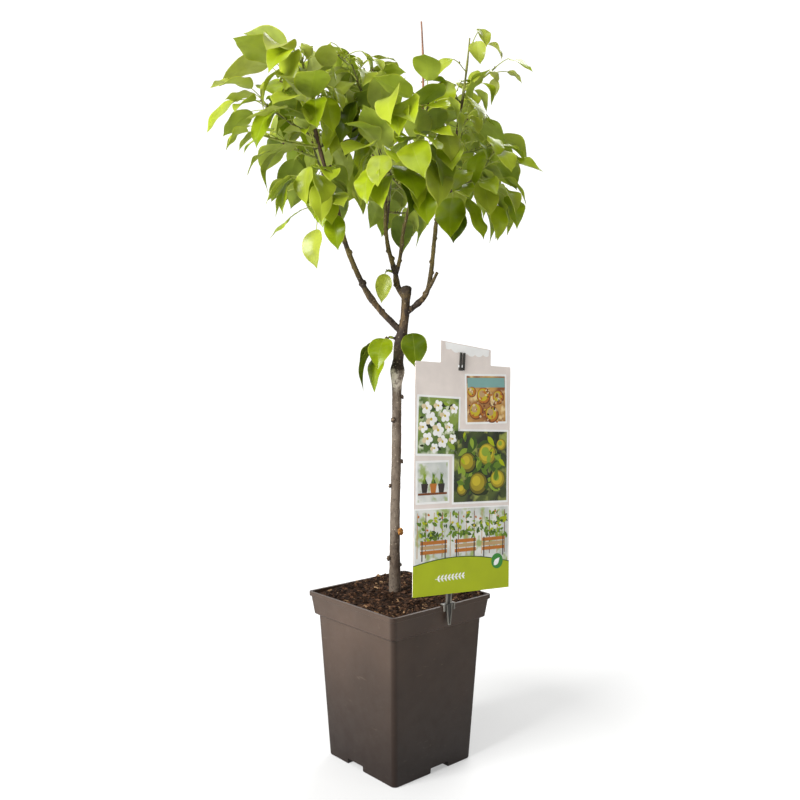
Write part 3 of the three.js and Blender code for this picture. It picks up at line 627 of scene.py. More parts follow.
def growTwig(stem, shoot):
    # a shoot on a stem with its bend, and its course in a few steps
    at, azimuth, lift, length = shoot[:4]
    start = coursePoint(stem, at)
    direction = heading(azimuth, lift)
    knee = start + direction * length * twigRule["shootKnee"]
    knee[2] -= length * twigRule["sag"]
    bend = start, knee, start + direction * length
    return {"shoot": shoot, "bend": bend, "course": bendCourse(bend, twigRule["shootSteps"])}


def growLeaves(name, twig, obstacles, wood, leaves, draws):
    # leaves along a shoot, each turned on until it fits between what has grown before
    azimuth, lift, length, count, size = twig["shoot"][1:6]
    stalkSize = twig["shoot"][6] if len(twig["shoot"]) > 6 else 1
    direction = heading(azimuth, lift)
    across = unit(np.cross(direction, (0, 0, 1)))
    first = twigRule["firstLeaf"] if length > twigRule["short"] else twigRule["firstLeafShort"]
    for i in range(count):
        t = first + (1 - first) * i / (count - 1) if count > 1 else 1
        for attempt in range(leafRule["attempts"]):
            offset = leafRule["turnSpread"] * (next(draws) - 0.5) + leafRule["attemptTurn"] * attempt
            spread = turned(across, direction, leafRule["goldenAngle"] * i + offset)
            lean = leafRule["open"] - leafRule["openDrop"] * t * t
            lean = math.radians(lean + leafRule["openSpread"] * (next(draws) - 0.5))
            stalkHeading = direction * math.cos(lean) + spread * math.sin(lean)
            stalkHeading[2] += leafRule["stalkRise"]
            leaf = makeLeaf(coursePoint(twig["course"], t), unit(stalkHeading), size, stalkSize, draws)
            if leafFits(leaf, name, obstacles, wood, leaves):
                leaves.append(leaf)
                break


# Finer twigs, which only the dressed tree has: short spurs with a few smaller leaves on the stems and shoots
spurRule = {
    "perStem": 6, "perShoot": 2, "first": 0.3, "spread": 0.5, "turnSpread": 60, "turnStep": 3,
    "length": (8, 12), "leaves": 2, "size": (0.4, 0.32), "stalkSize": 0.7, "lift": (5, 60),
    "seedStep": 1009, "radius": 0.9, "above": 862, "inside": 6,
}


def growMass(name):
    # a mass of the crown or a sprig: its stem, shoots, spurs and leaves
    mass = masses[name]
    draws = seeded(mass["seed"])
    obstacles = obstaclesOf(name)
    stem = stems[name]
    twigs = [growTwig(stem, shoot) for shoot in mass["shoots"]]
    twigs = [twig for twig in twigs if twigFits(twig["course"], name, obstacles)]
    courses = [stem, *[twig["course"] for twig in twigs]]
    wood = np.array([line for course in courses for line in courseLines(course)])
    leaves = []
    for twig in twigs:
        growLeaves(name, twig, obstacles, wood, leaves, draws)
    ruled = len(leaves)
    spurs = []
    if len(mass["shoots"]) > 1:
        spurs = growSpurs(name, courses, obstacles, wood, leaves)
    print(f"{name}: {ruled} leaves by the source's rule, {len(leaves) - ruled} on finer twigs")
    return {"stem": stemBend(mass), "twigs": twigs, "spurs": spurs, "leaves": leaves}


def growSpurs(name, courses, obstacles, wood, leaves):
    # spurs with their leaves, which are added to the mass's own and stay inside its reach
    rule = spurRule
    draws = seeded(masses[name]["seed"] + rule["seedStep"])
    reached = np.concatenate([leaf["points"] for leaf in leaves])
    low, high = reached.min(0) + rule["inside"], reached.max(0) - rule["inside"]
    low[2] = max(low[2], rule["above"])
    spurs = []
    for k, course in enumerate(courses):
        count = rule["perShoot"] if k else rule["perStem"]
        for i in range(count):
            at = (i + rule["first"] + rule["spread"] * next(draws)) / count
            turn = leafRule["goldenAngle"] * (i + rule["turnStep"] * k) + rule["turnSpread"] * next(draws)
            lift, length, size = [between(rule[key], draws) for key in ("lift", "length", "size")]
            spur = growTwig(course, (at, turn, lift, length, rule["leaves"], size, rule["stalkSize"]))
            lines = np.array(courseLines(spur["course"]))
            if (spur["course"][1:] < low).any() or not twigFits(spur["course"], name, obstacles):
                continue
            if any(anyCrossing(lines, other["triangles"]) for other in leaves):
                continue
            before = len(leaves)
            growLeaves(name, spur, obstacles, wood, leaves, draws)
            leaves[before:] = [leaf for leaf in leaves[before:]
                               if (leaf["points"] > low).all() and (leaf["points"] < high).all()]
            if len(leaves) > before:
                spurs.append(spur)
    return spurs


print("growing the masses")
grownMasses = {name: growMass(name) for name in masses}


# Leaves

leafLooks = {
    "rows": 30, "evenRows": 0.62, "halfStations": (0.022, 0.22, 0.5, 0.76, 0.945, 1.0), "thickness": 0.34,
    "breadth": 0.63, "breadthPart": (0.94, 0.12), "minHalf": 0.5, "minTaper": 0.7,
    "teeth": 0.016, "wave": 0.036, "waveTurns": (1.1, 1.2), "wavePhase": 6.28,
    "puff": 0.009, "veins": 9, "veinSlant": 0.16, "twist": 30, "bow": 0.04,
    "arch": (0.0, 0.13), "cup": (-0.3, 0.6), "keel": 1.1, "keelRound": 0.1,
    "ribHeight": 0.28, "ribTaper": 0.5, "ribTop": 0.4,
    # tones from deep inside the crown to the young tips, darker inside as painted shade and lighter outside
    # as painted light: top, lit through, underside
    "tones": [
        ("deep", (82, 104, 0), (106, 130, 0), (108, 128, 28)),
        ("shade", (144, 166, 12), (159, 178, 4), (152, 170, 54)),
        ("mid", (172, 190, 30), (180, 196, 14), (174, 188, 74)),
        ("fresh", (173, 187, 54), (185, 197, 30), (179, 191, 92)),
        ("bright", (178, 189, 76), (188, 197, 50), (186, 195, 110)),
        ("light", (184, 191, 98), (194, 200, 70), (192, 199, 126)),
        ("young", (200, 195, 88), (208, 203, 56), (200, 200, 122)),
    ],
    # the rib is the midrib's own paler colour; the margin's yellow is painted light, a glow of light coming
    # through the leaf's edge
    "rib": (206, 212, 140), "ribMix": 0.36, "margin": (222, 218, 108), "marginGlowMix": 0.5,
    "fleck": 0.86, "sun": (196, 204, 60), "sunMix": 0.24, "through": 0.45, "specular": 0.42,
    "roughness": {"": 0.3, "under_": 0.62, "rib_": 0.5, "glow_margin_": 0.45}, "sharp": 60,
}
leafTop, leafUnder, leafRib, leafGlowMargin = range(4)


def leafMaterial(name, colour, through, roughness, part):
    # flecked, with sunny patches, and letting a part of the light through
    nodes = Finish(name, roughness, leafLooks["specular"])
    fleck = nodes.band(nodes.noise(60, 3), 0.35, 0.65)
    flecked = nodes.mix(fleck, shaded(colour, leafLooks["fleck"]), colour)
    patch = nodes.band(nodes.noise(26, 2), 0.46, 0.64)
    sunny = blended(colour, leafLooks["sun"], leafLooks["sunMix"])
    nodes.done(nodes.mix(patch, flecked, sunny), nodes.bump(nodes.noise(420, 2), 0.0001, 0.4))
    glow = nodes.add("ShaderNodeBsdfTranslucent", {"Color": linear(through)})
    blend = nodes.mixShader(part, nodes.shader.outputs["BSDF"], glow.outputs["BSDF"])
    nodes.link(blend, nodes.tree.nodes["Material Output"].inputs["Surface"])
    return nodes.material


def leafTemplate():
    # a flat closed leaf blank: x is the fraction along, y the station across, z the side of the blade
    rows, half, even = leafLooks["rows"], leafLooks["halfStations"], leafLooks["evenRows"]
    across = [-value for value in reversed(half)] + list(half)
    shape = bmesh.new()
    bmesh.ops.create_grid(shape, x_segments=rows, y_segments=len(across) - 1, size=1)
    for vert in shape.verts:
        part = (vert.co.x + 1) / 2
        column = round((vert.co.y + 1) / 2 * (len(across) - 1))
        vert.co.x = even * part + (1 - even) * (1 - math.cos(math.pi * part)) / 2
        vert.co.y = across[column]
    bmesh.ops.solidify(shape, geom=shape.faces[:], thickness=1)
    bmesh.ops.recalc_face_normals(shape, faces=shape.faces)
    for vert in shape.verts:
        vert.co.z = 1 if vert.co.z > -0.5 else -1
    shape.normal_update()
    kinds = [faceKind(abs(face.calc_center_median().y), face.normal.z) for face in shape.faces]
    return *templateArrays(shape), np.array(kinds)


def faceKind(out, up):
    # kind of a face of the blank by how far out it lies and how far up it faces
    if out < 0.01 and abs(up) > 0.5:
        return leafRib
    if out > 0.96:
        return leafGlowMargin
    return leafTop if up > 0.5 else leafUnder


def bladeOutline(t):
    # rounder than the solids' coarse outline, with a short drawn-out tip
    tip = np.clip((t - 0.78) / 0.22, 0, 1)
    power = 0.64 + 0.22 * np.clip((t - 0.35) / 0.4, 0, 1)
    return np.sin(np.pi * np.clip(t, 0, 1) ** 0.82) ** power * (1 - 0.5 * tip * tip * (3 - 2 * tip))


def swing(draws):
    return 2 * next(draws) - 1


def leafMesh(leaf, blank, draws):
    # the blank laid over one leaf, with softened keel, waved edge, teeth, raised quilting and drawn-out tip
    looks = leafLooks
    t, across, level = blank[:, 0], blank[:, 1], blank[:, 2]
    size = np.abs(across)
    length = leaf["length"]
    half = length * looks["breadth"] * 0.5 * bladeOutline(t) * between(looks["breadthPart"], draws)
    row = np.round(np.interp(t, np.unique(t), np.arange(len(np.unique(t)))))
    tooth = np.where((size > 0.99) & (row % 2 == 1), 1.0, 0.0)
    half = np.maximum(half * (1 + looks["teeth"] * tooth), looks["minHalf"] * (1 - looks["minTaper"] * t))
    window = np.clip(4 * t * (1 - t), 0, 1)
    phase = np.where(across > 0, looks["wavePhase"] * next(draws), looks["wavePhase"] * next(draws))
    turns = between(looks["waveTurns"], draws)
    wave = looks["wave"] * length * np.sin(2 * np.pi * turns * t + phase) * size ** 2 * window
    veins = looks["veins"] * (t - looks["veinSlant"] * size)
    puff = looks["puff"] * length * np.cos(2 * np.pi * veins) * window
    puff = puff * 4 * size * (1 - size)
    twist = math.radians(looks["twist"]) * swing(draws)
    bow = looks["bow"] * length * swing(draws)
    arch = length * between(looks["arch"], draws) * np.sin(np.pi * np.clip(t, 0, 1))
    cup = between(looks["cup"], draws) * half * size ** 2 * window
    keel = np.sqrt(size ** 2 + looks["keelRound"] ** 2) - looks["keelRound"]
    rise = half * keel * math.sin(leaf["fold"]) * looks["keel"] - leaf["curl"] * length * t * t
    rise = rise + wave - puff + arch - cup + np.sin(twist * t) * half * across
    rib = np.where(size < 0.05, looks["ribHeight"] * (1 - looks["ribTaper"] * t), 0.0)
    lift = rise + level * (looks["thickness"] / 2) - np.where(level > 0, -rib * looks["ribTop"], rib)
    return (leaf["base"] + np.outer(length * t, leaf["along"])
            + np.outer(across * half * math.cos(leaf["fold"]) + bow * window, leaf["side"])
            + np.outer(lift, leaf["face"]))


leafMaterials = []
for kind, roughness in leafLooks["roughness"].items():
    for tone, top, through, under in leafLooks["tones"]:
        rib = blended(top, leafLooks["rib"], leafLooks["ribMix"])
        # the margin strip takes the painted glow of light through the edge
        margin = blended(top, leafLooks["margin"], leafLooks["marginGlowMix"])
        colour = {"": top, "under_": under, "rib_": rib, "glow_margin_": margin}[kind]
        name = f"leaf_{kind}{tone}"
        leafMaterials.append(leafMaterial(name, colour, through, roughness, leafLooks["through"]))

blankPoints, blankFaces, blankKinds = leafTemplate()
toneRule = {
    "middle": np.array([-10.0, 20.0, 880.0]), "reach": np.array([200.0, 180.0, 160.0]),
    "start": 0.5, "out": 1.9, "farthest": 1.25, "high": 0.7, "spread": 2.6, "young": 0.8, "youngLength": 32,
    "sprigs": (0, 0, 1), "sprigsBelow": 740, "lightSprigsAbove": 650, "lightSprigs": 4, "seedStep": 7,
}


def leafTone(leaf, draws):
    # deeper tones inside and low in the crown as painted shade, lighter ones outside and high as painted
    # light, by one draw for each leaf
    rule, height = toneRule, leaf["middle"][2]
    if height < rule["sprigsBelow"]:
        tone = rule["sprigs"][int(next(draws) * len(rule["sprigs"]))]
        return tone + (rule["lightSprigs"] if height > rule["lightSprigsAbove"] else 0)
    isYoung = leaf["length"] < rule["youngLength"]
    out = np.linalg.norm((leaf["middle"] - rule["middle"]) / rule["reach"])
    high = (height - rule["middle"][2]) / rule["reach"][2]
    value = rule["start"] + rule["out"] * min(out, rule["farthest"]) + rule["high"] * high
    value = value + rule["spread"] * (next(draws) - 0.5) + (rule["young"] if isYoung else 0)
    return int(np.clip(round(value), 0, len(leafLooks["tones"]) - (1 if isYoung else 2)))


def pieceName(kind, name):
    return kind + "_" + name.replace("foliage_", "")


def dressLeaves(name, grown):
    draws = seeded(masses[name]["seed"] + toneRule["seedStep"])
    points, faces, slots = [], [], []
    for k, leaf in enumerate(grown["leaves"]):
        tone = leafTone(leaf, draws)
        faces.append(blankFaces + k * len(blankPoints))
        points.append(leafMesh(leaf, blankPoints, draws))
        slots.append(blankKinds * len(leafLooks["tones"]) + tone)
    piece = objectFromParts(pieceName("leaves", name), points, faces, slots, leafMaterials)
    shadeSmooth(piece, leafLooks["sharp"])
    finishPiece(piece, "foliage", name)


print("dressing the leaves")
for name, grown in grownMasses.items():
    dressLeaves(name, grown)


# Twigs, stalks and buds

twigLooks = {
    "stemSteps": 22, "sprigSteps": 5, "shootSteps": 12, "sprigShootSteps": 4, "spurSteps": 5, "stalkSteps": 6,
    "sides": 8, "knuckle": 0.28, "knuckleReach": 1.3, "stemKnuckles": (0.15, 0.36, 0.58, 0.8),
    "shootKnuckles": (0.42, 0.7, 0.95), "spurKnuckles": (0.9,), "woodyPart": 0.55, "youngPart": 0.995,
    "oliveEvery": 3, "stalkRadius": (0.85, 0.55), "stalkParts": (1.25, 0.85), "intoLeaf": 1.2, "seedStep": 11,
    "budLength": 4.6, "budRadius": 1.25, "budPart": (0.85, 0.3), "budShape": (0.35, 0.5, 0.32),
    "budRise": 1.2, "shootBud": 1.0, "spurBud": 0.7, "leafBud": 0.75, "leafWithBud": 38, "sharp": 50,
}
oldTwig, greenTwig, redTwig, budScales, leafStalk, oliveTwig = range(6)


def twigMaterial(name, dark, light, roughness, scale):
    nodes = Finish(name, roughness, 0.4)
    streak = nodes.band(nodes.noise(scale, 5, 0.6, (1, 1, 0.35)), 0.38, 0.64)
    return nodes.done(nodes.mix(streak, dark, light), nodes.bump(nodes.noise(scale * 3, 4), 0.0006, 0.6))


twigMaterials = [
    twigMaterial("twig_old", (58, 44, 30), (92, 72, 48), 0.75, 180),
    twigMaterial("twig_green", (106, 118, 36), (146, 154, 54), 0.55, 160),
    twigMaterial("twig_red", (112, 76, 54), (152, 104, 72), 0.5, 160),
    twigMaterial("bud_scales", (66, 50, 30), (104, 78, 46), 0.6, 500),
    leafMaterial("leaf_stalk", (176, 186, 74), (198, 204, 70), 0.5, 0.12),
    twigMaterial("twig_olive", (84, 86, 36), (124, 124, 52), 0.6, 160),
]


def tubeMesh(name, lines, sides):
    # a joined mesh of tapering tubes; each line is (points in mm, radii in mm, material slot)
    curve = bpy.data.curves.new(name, "CURVE")
    curve.dimensions = "3D"
    curve.bevel_depth = mm
    curve.bevel_resolution = (sides - 4) // 2
    curve.use_fill_caps = True
    for material in twigMaterials:
        curve.materials.append(material)
    for points, radii, slot in lines:
        spline = curve.splines.new("POLY")
        spline.points.add(len(points) - 1)
        spline.points.foreach_set("co", np.c_[points * mm, np.ones(len(points))].astype(np.float32).ravel())
        spline.points.foreach_set("radius", np.array(radii, np.float32))
        spline.material_index = slot
    holder = bpy.data.objects.new(name, curve)
    mesh = bpy.data.meshes.new_from_object(holder)
    bpy.data.objects.remove(holder)
    bpy.data.curves.remove(curve)
    return mesh


def taper(radius, count, knuckles):
    parts = np.linspace(0, 1, count)
    radii = radius * (1 - twigRule["taper"] * parts)
    for at in knuckles:
        near = np.exp(-(((parts - at) * count / twigLooks["knuckleReach"]) ** 2))
        radii = radii + radius * twigLooks["knuckle"] * near
    return radii


def stemLines(name, bend, steps, isSprig):
    # a sprig's stem is green, a mass's is woody at first and then olive or red
    mass = masses[name]
    points = np.concatenate([[stubOf(mass)[0]], bendCourse(bend, steps)])
    radii = np.concatenate([[mass["radius"]], taper(mass["radius"], steps + 1, twigLooks["stemKnuckles"])])
    if isSprig:
        return [(points, radii, greenTwig)]
    split = int(steps * twigLooks["woodyPart"]) + 1
    young = redTwig if name == "foliage_front" else oliveTwig
    return [(points[:split + 1], radii[:split + 1], oldTwig),
            (points[split:], radii[split:] * twigLooks["youngPart"], young)]


def stalkLine(leaf):
    bend = bendCourse((leaf["place"], leaf["knee"], leaf["base"]), twigLooks["stalkSteps"])
    course = np.concatenate([bend, [leaf["base"] + leaf["along"] * twigLooks["intoLeaf"]]])
    low, high = twigLooks["stalkRadius"]
    foot, start = [low * part for part in twigLooks["stalkParts"]]
    return course, np.concatenate([[foot], np.linspace(start, high, len(course) - 1)]), leafStalk


def leafBud(leaf):
    rise = np.array([0, 0, twigLooks["budRise"]])
    direction = unit(unit(leaf["knee"] - leaf["place"]) + rise)
    return leaf["place"] + rise, direction, twigLooks["leafBud"]


def endBud(course, size):
    return course[-1], unit(course[-1] - course[-2]), size


def dressTwigs(name, grown):
    looks, mass = twigLooks, masses[name]
    draws = seeded(mass["seed"] + looks["seedStep"])
    isSprig = len(mass["shoots"]) == 1
    steps, shootSteps = looks["stemSteps"], looks["shootSteps"]
    if isSprig:
        steps, shootSteps = looks["sprigSteps"], looks["sprigShootSteps"]
    lines, ends = stemLines(name, grown["stem"], steps, isSprig), []
    shootRadius = min(twigRule["shootRadius"], mass["radius"] * twigRule["shootPart"])
    for k, twig in enumerate(grown["twigs"]):
        course = bendCourse(twig["bend"], shootSteps)
        slot = greenTwig if k % looks["oliveEvery"] else oliveTwig
        lines.append((course, taper(shootRadius, len(course), looks["shootKnuckles"]), slot))
        ends.append(endBud(course, looks["shootBud"]))
    for spur in grown["spurs"]:
        course = bendCourse(spur["bend"], looks["spurSteps"])
        lines.append((course, taper(spurRule["radius"], len(course), looks["spurKnuckles"]), greenTwig))
        ends.append(endBud(course, looks["spurBud"]))
    lines += [stalkLine(leaf) for leaf in grown["leaves"]]
    ends += [leafBud(leaf) for leaf in grown["leaves"] if leaf["length"] > looks["leafWithBud"]]
    mesh = tubeMesh("twigs", lines, looks["sides"])
    shape = bmesh.new()
    shape.from_mesh(mesh)
    bpy.data.meshes.remove(mesh)
    bmesh.ops.remove_doubles(shape, verts=shape.verts, dist=1e-7)
    bmesh.ops.scale(shape, vec=(1 / mm,) * 3, verts=shape.verts)
    for place, direction, size in ends:
        addBud(shape, place, direction, size * between(looks["budPart"], draws))
    bmesh.ops.recalc_face_normals(shape, faces=shape.faces)
    piece = objectFrom(pieceName("twigs", name), shape, twigMaterials)
    shadeSmooth(piece, looks["sharp"])
    finishPiece(piece, "bark", name)


def addBud(shape, place, direction, size):
    # a plump pointed bud
    length, radius = twigLooks["budLength"] * size, twigLooks["budRadius"] * size
    slim, stretch, lift = twigLooks["budShape"]
    turn = Vector((0, 0, 1)).rotation_difference(Vector(direction)).to_matrix().to_4x4()
    whole = Matrix.Translation(Vector(place)) @ turn
    made = bmesh.ops.create_uvsphere(shape, u_segments=6, v_segments=5, radius=1)
    for vert in made["verts"]:
        point = vert.co.copy()
        width = radius * (1 - slim * max(point.z, 0))
        vert.co = whole @ Vector((point.x * width, point.y * width, (point.z * stretch + lift) * length))
    for face in facesAt(made["verts"]):
        face.material_index = budScales


print("dressing the twigs")
for name, grown in grownMasses.items():
    dressTwigs(name, grown)


# Trunk and boughs

barkLooks = {
    "voxel": 0.85, "sides": 16, "stepsPerRing": 3, "stubSteps": 10, "fuller": 0.4, "boughFuller": -0.25,
    "domeRises": (1.6, 3.0, 3.8), "domeParts": (0.9, 0.62, 0.25), "collar": (1.6, 0.9, 0.1),
    "softening": (0.5, 2),
    "relief": 0.46, "crack": 0.33, "crackWidth": 0.12, "ring": 0.7, "calmFoot": 2, "calm": 0.3,
    # how fine the relief, cracks and rings are across and along a limb
    "reliefScale": (0.16, 0.07), "crackScale": (0.3, 0.06), "crackFiner": 2.4, "ringScale": (0.05, 0.55),
    "grey": (86, 73, 60), "brown": (54, 42, 32), "dark": (34, 26, 19), "pale": (128, 117, 103),
    "boughDark": (44, 33, 22), "bough": (98, 78, 49), "olive": (112, 102, 44), "white": (192, 184, 168),
    "scar": (58, 45, 35), "crust": (44, 34, 27), "pore": (170, 156, 136),
    # levels in metres: where the bark is weathered, the graft's white band and the crusted ring above it,
    # and where the trunk's bark turns to the boughs' and that to olive
    "weathered": (0.31, 0.42, 0.47, 0.53), "band": (0.546, 0.562, 0.578, 0.584),
    "scarRing": (0.578, 0.584, 0.597, 0.604), "boughsFrom": (0.6, 0.66), "oliveFrom": (0.66, 0.76),
    # how much of a pattern shows, and how far it shifts an edge in metres
    "patchShare": 0.5, "weatheredShare": 0.26, "patchShift": 0.03, "levelShift": 0.02, "scarShare": 0.9,
    "crustOver": (0.3, 0.75, 0, 0.85), "crustFade": 0.5, "poreShare": 0.5, "fleckShare": 0.45,
    "poreScale": 130, "poreStretch": (1, 1, 1.7), "poreSize": (0.1, 0.2, 1, 0),
    # grain and reliefs: depth in metres and strength
    "shift": (90, 4), "grain": (420, 6, 0.65, (1, 1, 0.4)), "grainRelief": (0.0012, 0.7),
    "poreRelief": (0.0006, 0.6),
}
# patterns of the bark: scale, detail, roughness, stretch and distortion, and the band they are spread over
barkPatterns = {
    "streak": ((140, 6, 0.62, (1, 1, 0.28), 0.4), (0.36, 0.66)),
    "patch": ((38, 4, 0.6, (1, 1, 0.6)), (0.42, 0.62)),
    "bandEdge": ((150, 4, 0.65, (1, 1, 0.6)), (0.4, 0.52, 0.15, 0.95)),
    "scar": ((300, 4), (0.42, 0.6)),
    "crustEdge": ((210, 4, 0.65), (0.3, 0.62, -0.35, 0.35)),
    "fleck": ((420, 3, 0.6), (0.62, 0.7)),
}
# dark crust round forks and old cuts: centre and reach in millimetres
crustSpots = [
    ((10.3, 0, 692), 16), ((-2.5, 0, 619), 19), ((-12, -1, 640), 14), ((23, 2, 664), 14),
    ((-51, -10, 697), 12), ((-5, 16, 717), 11), ((-76, -17, 750), 8), ((12, 0, 655), 10),
]
# knobs and spurs of the limbs: height in millimetres, azimuth, radius
knobs = {
    "trunk": [(617, 190, 3.0), (629, 350, 2.4), (641, 175, 2.6), (683, 300, 3.4), (685, 120, 3.2)],
    "left_bough": [
        (641, 250, 2.4), (656, 35, 2.6), (668, 200, 3.0), (696, 20, 4.0), (694, 205, 3.4), (717, 195, 2.6),
        (739, 15, 3.2), (752, 200, 2.4), (790, 200, 2.6), (815, 20, 2.6), (836, 205, 2.6)],
    "centre_bough": [
        (694, 200, 3.2), (714, 330, 3.0), (734, 25, 3.4), (745, 190, 2.8), (770, 200, 2.4), (795, 10, 2.2)],
    "inner_bough": [(730, 350, 2.4), (752, 10, 2.2), (780, 190, 2.1)],
    "right_bough": [
        (660, 300, 3.6), (664, 60, 3.2), (672, 330, 3.4), (682, 170, 2.6), (712, 10, 2.8), (728, 195, 2.8),
        (762, 10, 2.2), (790, 185, 2.3), (822, 15, 2.4)],
}
knobLook = {"lift": 25, "out": 0.45, "parts": (1.25, 1, 0.55)}
budLook = {
    "out": 0.55, "neck": 2.2, "parts": (1.45, 1.1, 0.6), "goldFrom": 1.25, "seed": 311, "scales": 9,
    "turn": 45, "turnSpread": 20, "ring": 0.8, "ringPart": (0.8, 0.4), "raised": 0.1, "middleRaised": 0.6,
    "scalePart": (0.52, 0.2), "rough": 0.3, "roughScale": 1.3, "sharp": 60,
}
graftCrust = {
    "count": 22, "seed": 577, "height": (573, 15), "lift": 10, "sunk": 0.6, "out": 0.9, "length": 5,
    "radii": (2.4, 2.0, 1.1),
}


def barkMaterial():
    looks = barkLooks
    nodes = Finish("bark", 0.78, 0.35)
    height = nodes.height()
    streak = nodes.pattern(*barkPatterns["streak"])
    patch = nodes.pattern(*barkPatterns["patch"])
    weathered = nodes.times(nodes.zone(height, *looks["weathered"]), looks["weatheredShare"])
    share = nodes.math("ADD", nodes.times(patch, looks["patchShare"]), weathered)
    trunk = nodes.mix(share, nodes.mix(streak, looks["brown"], looks["grey"]), looks["pale"])
    olive = nodes.times(nodes.band(height, *looks["oliveFrom"]), nodes.band(streak, 0, 1, 0.3, 0.6))
    bough = nodes.mix(olive, nodes.mix(streak, looks["boughDark"], looks["bough"]), looks["olive"])
    uneven = nodes.math("ADD", height, nodes.times(patch, looks["patchShift"]))
    colour = nodes.mix(nodes.band(uneven, *looks["boughsFrom"]), trunk, bough)
    # the graft's band and ring
    level = nodes.math("ADD", height, nodes.times(nodes.noise(*looks["shift"]), looks["levelShift"]))
    torn = nodes.pattern(*barkPatterns["bandEdge"])
    colour = nodes.mix(nodes.times(nodes.zone(level, *looks["band"]), torn), colour, looks["white"])
    crust = nodes.mix(nodes.pattern(*barkPatterns["scar"]), looks["dark"], looks["scar"])
    ring = nodes.times(nodes.zone(level, *looks["scarRing"]), looks["scarShare"])
    colour = nodes.mix(ring, colour, crust)
    torn = nodes.pattern(*barkPatterns["crustEdge"])
    for place, reach in crustSpots:
        distance = nodes.vector("DISTANCE", nodes.place(), [value * mm for value in place])
        near = nodes.band(distance, reach * mm, reach * looks["crustFade"] * mm)
        near = nodes.math("ADD", near, torn)
        colour = nodes.mix(nodes.band(near, *looks["crustOver"]), colour, looks["crust"])
    spots = {"Scale": looks["poreScale"], "Vector": nodes.place(looks["poreStretch"])}
    dots = nodes.add("ShaderNodeTexVoronoi", spots, feature="F1")
    pore = nodes.band(dots.outputs["Distance"], *looks["poreSize"])
    colour = nodes.mix(nodes.times(pore, looks["poreShare"]), colour, looks["pore"])
    fleck = nodes.times(nodes.pattern(*barkPatterns["fleck"]), looks["fleckShare"])
    colour = nodes.mix(fleck, colour, looks["dark"])
    rough = nodes.bump(nodes.noise(*looks["grain"]), *looks["grainRelief"])
    return nodes.done(colour, nodes.bump(pore, *looks["poreRelief"], rough))


def limbLine(limb, steps):
    parts = np.linspace(0, 1, steps)
    points = np.array([splinePoint(limb["knots"], t) for t in parts])
    return points, np.array([limbRadius(limb, t) for t in parts])


def onLimb(limb, height, azimuth, lift):
    # a point on a limb's line, a direction out of it and the limb's radius there
    at = fractionAt(limb["knots"], height)
    return splinePoint(limb["knots"], at), heading(azimuth, lift), limbRadius(limb, at)


def budPlace(height, azimuth, size):
    foot, out, thick = onLimb(limbs["trunk"], height, azimuth, bud["lift"])
    return foot, out, foot + out * (thick + bud["length"] * size * budLook["out"])


def barkLines():
    # the limbs and all that grows out of their bark, each as points and radii
    looks = barkLooks
    for name, limb in limbs.items():
        points, radii = limbLine(limb, limb["rings"] * looks["stepsPerRing"] + 1)
        radii = radii + looks["fuller" if name == "trunk" else "boughFuller"]
        if name == "trunk":
            # the old cut on top has healed to a dome
            up = unit(points[-1] - points[-2])
            points = np.concatenate([points, [points[-1] + up * rise for rise in looks["domeRises"]]])
            radii = np.concatenate([radii, radii[-1] * np.array(looks["domeParts"])])
        yield points, radii
    yield limbLine(cutStub, looks["stubSteps"])
    for mass in masses.values():
        foot, tip, _ = stubOf(mass)
        if mass["at"] < 1:
            radii = [mass["radius"] + extra for extra in looks["collar"]]
            yield np.array([foot, (foot + tip) / 2, tip]), radii
    for name, places in knobs.items():
        for height, azimuth, radius in places:
            foot, out, thick = onLimb(limbs[name], height, azimuth, knobLook["lift"])
            edge = foot + out * (thick + radius * knobLook["out"])
            yield np.array([foot, edge - out, edge]), [radius * part for part in knobLook["parts"]]
    for height, azimuth, size in buds:
        foot, out, edge = budPlace(height, azimuth, size)
        radii = [bud["radius"] * part * size for part in budLook["parts"]]
        yield np.array([foot, edge - out * budLook["neck"], edge]), radii
    crust = graftCrust
    draws = seeded(crust["seed"])
    for _ in range(crust["count"]):
        height = between(crust["height"], draws)
        foot, out, thick = onLimb(limbs["trunk"], height, 360 * next(draws), crust["lift"])
        edge = foot + out * (thick - crust["sunk"] + crust["out"] * next(draws))
        yield np.array([edge - out * crust["length"], edge - out, edge]), crust["radii"]


def stretched(spot, across, up):
    return Vector((spot.x * across, spot.y * across, spot.z * up))


def roughenBark(mesh):
    # relief, cracks and rings in the bark, calmer at the flat foot
    looks = barkLooks
    shape = bmesh.new()
    shape.from_mesh(mesh)
    shape.normal_update()
    for vert in shape.verts:
        spot = Vector(vert.co) / mm
        rough = noise.fractal(stretched(spot, *looks["reliefScale"]), 0.9, 2.1, 4)
        crack = abs(noise.noise(stretched(spot, *looks["crackScale"]) * looks["crackFiner"]))
        crack = max(0.0, 1 - crack / looks["crackWidth"])
        ring = max(0.0, noise.noise(stretched(spot, *looks["ringScale"]))) ** 2
        amount = looks["relief"] * rough - looks["crack"] * crack + looks["ring"] * ring
        if spot.z < groundLevel + looks["calmFoot"]:
            amount *= looks["calm"]
        vert.co = vert.co + vert.normal * amount * mm
    shape.to_mesh(mesh)
    shape.free()


def dressLimbs():
    looks = barkLooks
    mesh = tubeMesh("bark", [(points, radii, 0) for points, radii in barkLines()], looks["sides"])
    mesh.materials.clear()
    piece = newObject("bark", mesh, [barkMaterial()])
    addModifier(piece, "REMESH", mode="VOXEL", voxel_size=looks["voxel"] * mm, use_smooth_shade=True)
    addModifier(piece, "SMOOTH", factor=looks["softening"][0], iterations=looks["softening"][1])
    bakeModifiers(piece)
    roughenBark(piece.data)
    shadeSmooth(piece)
    finishPiece(piece, "bark", *limbs)


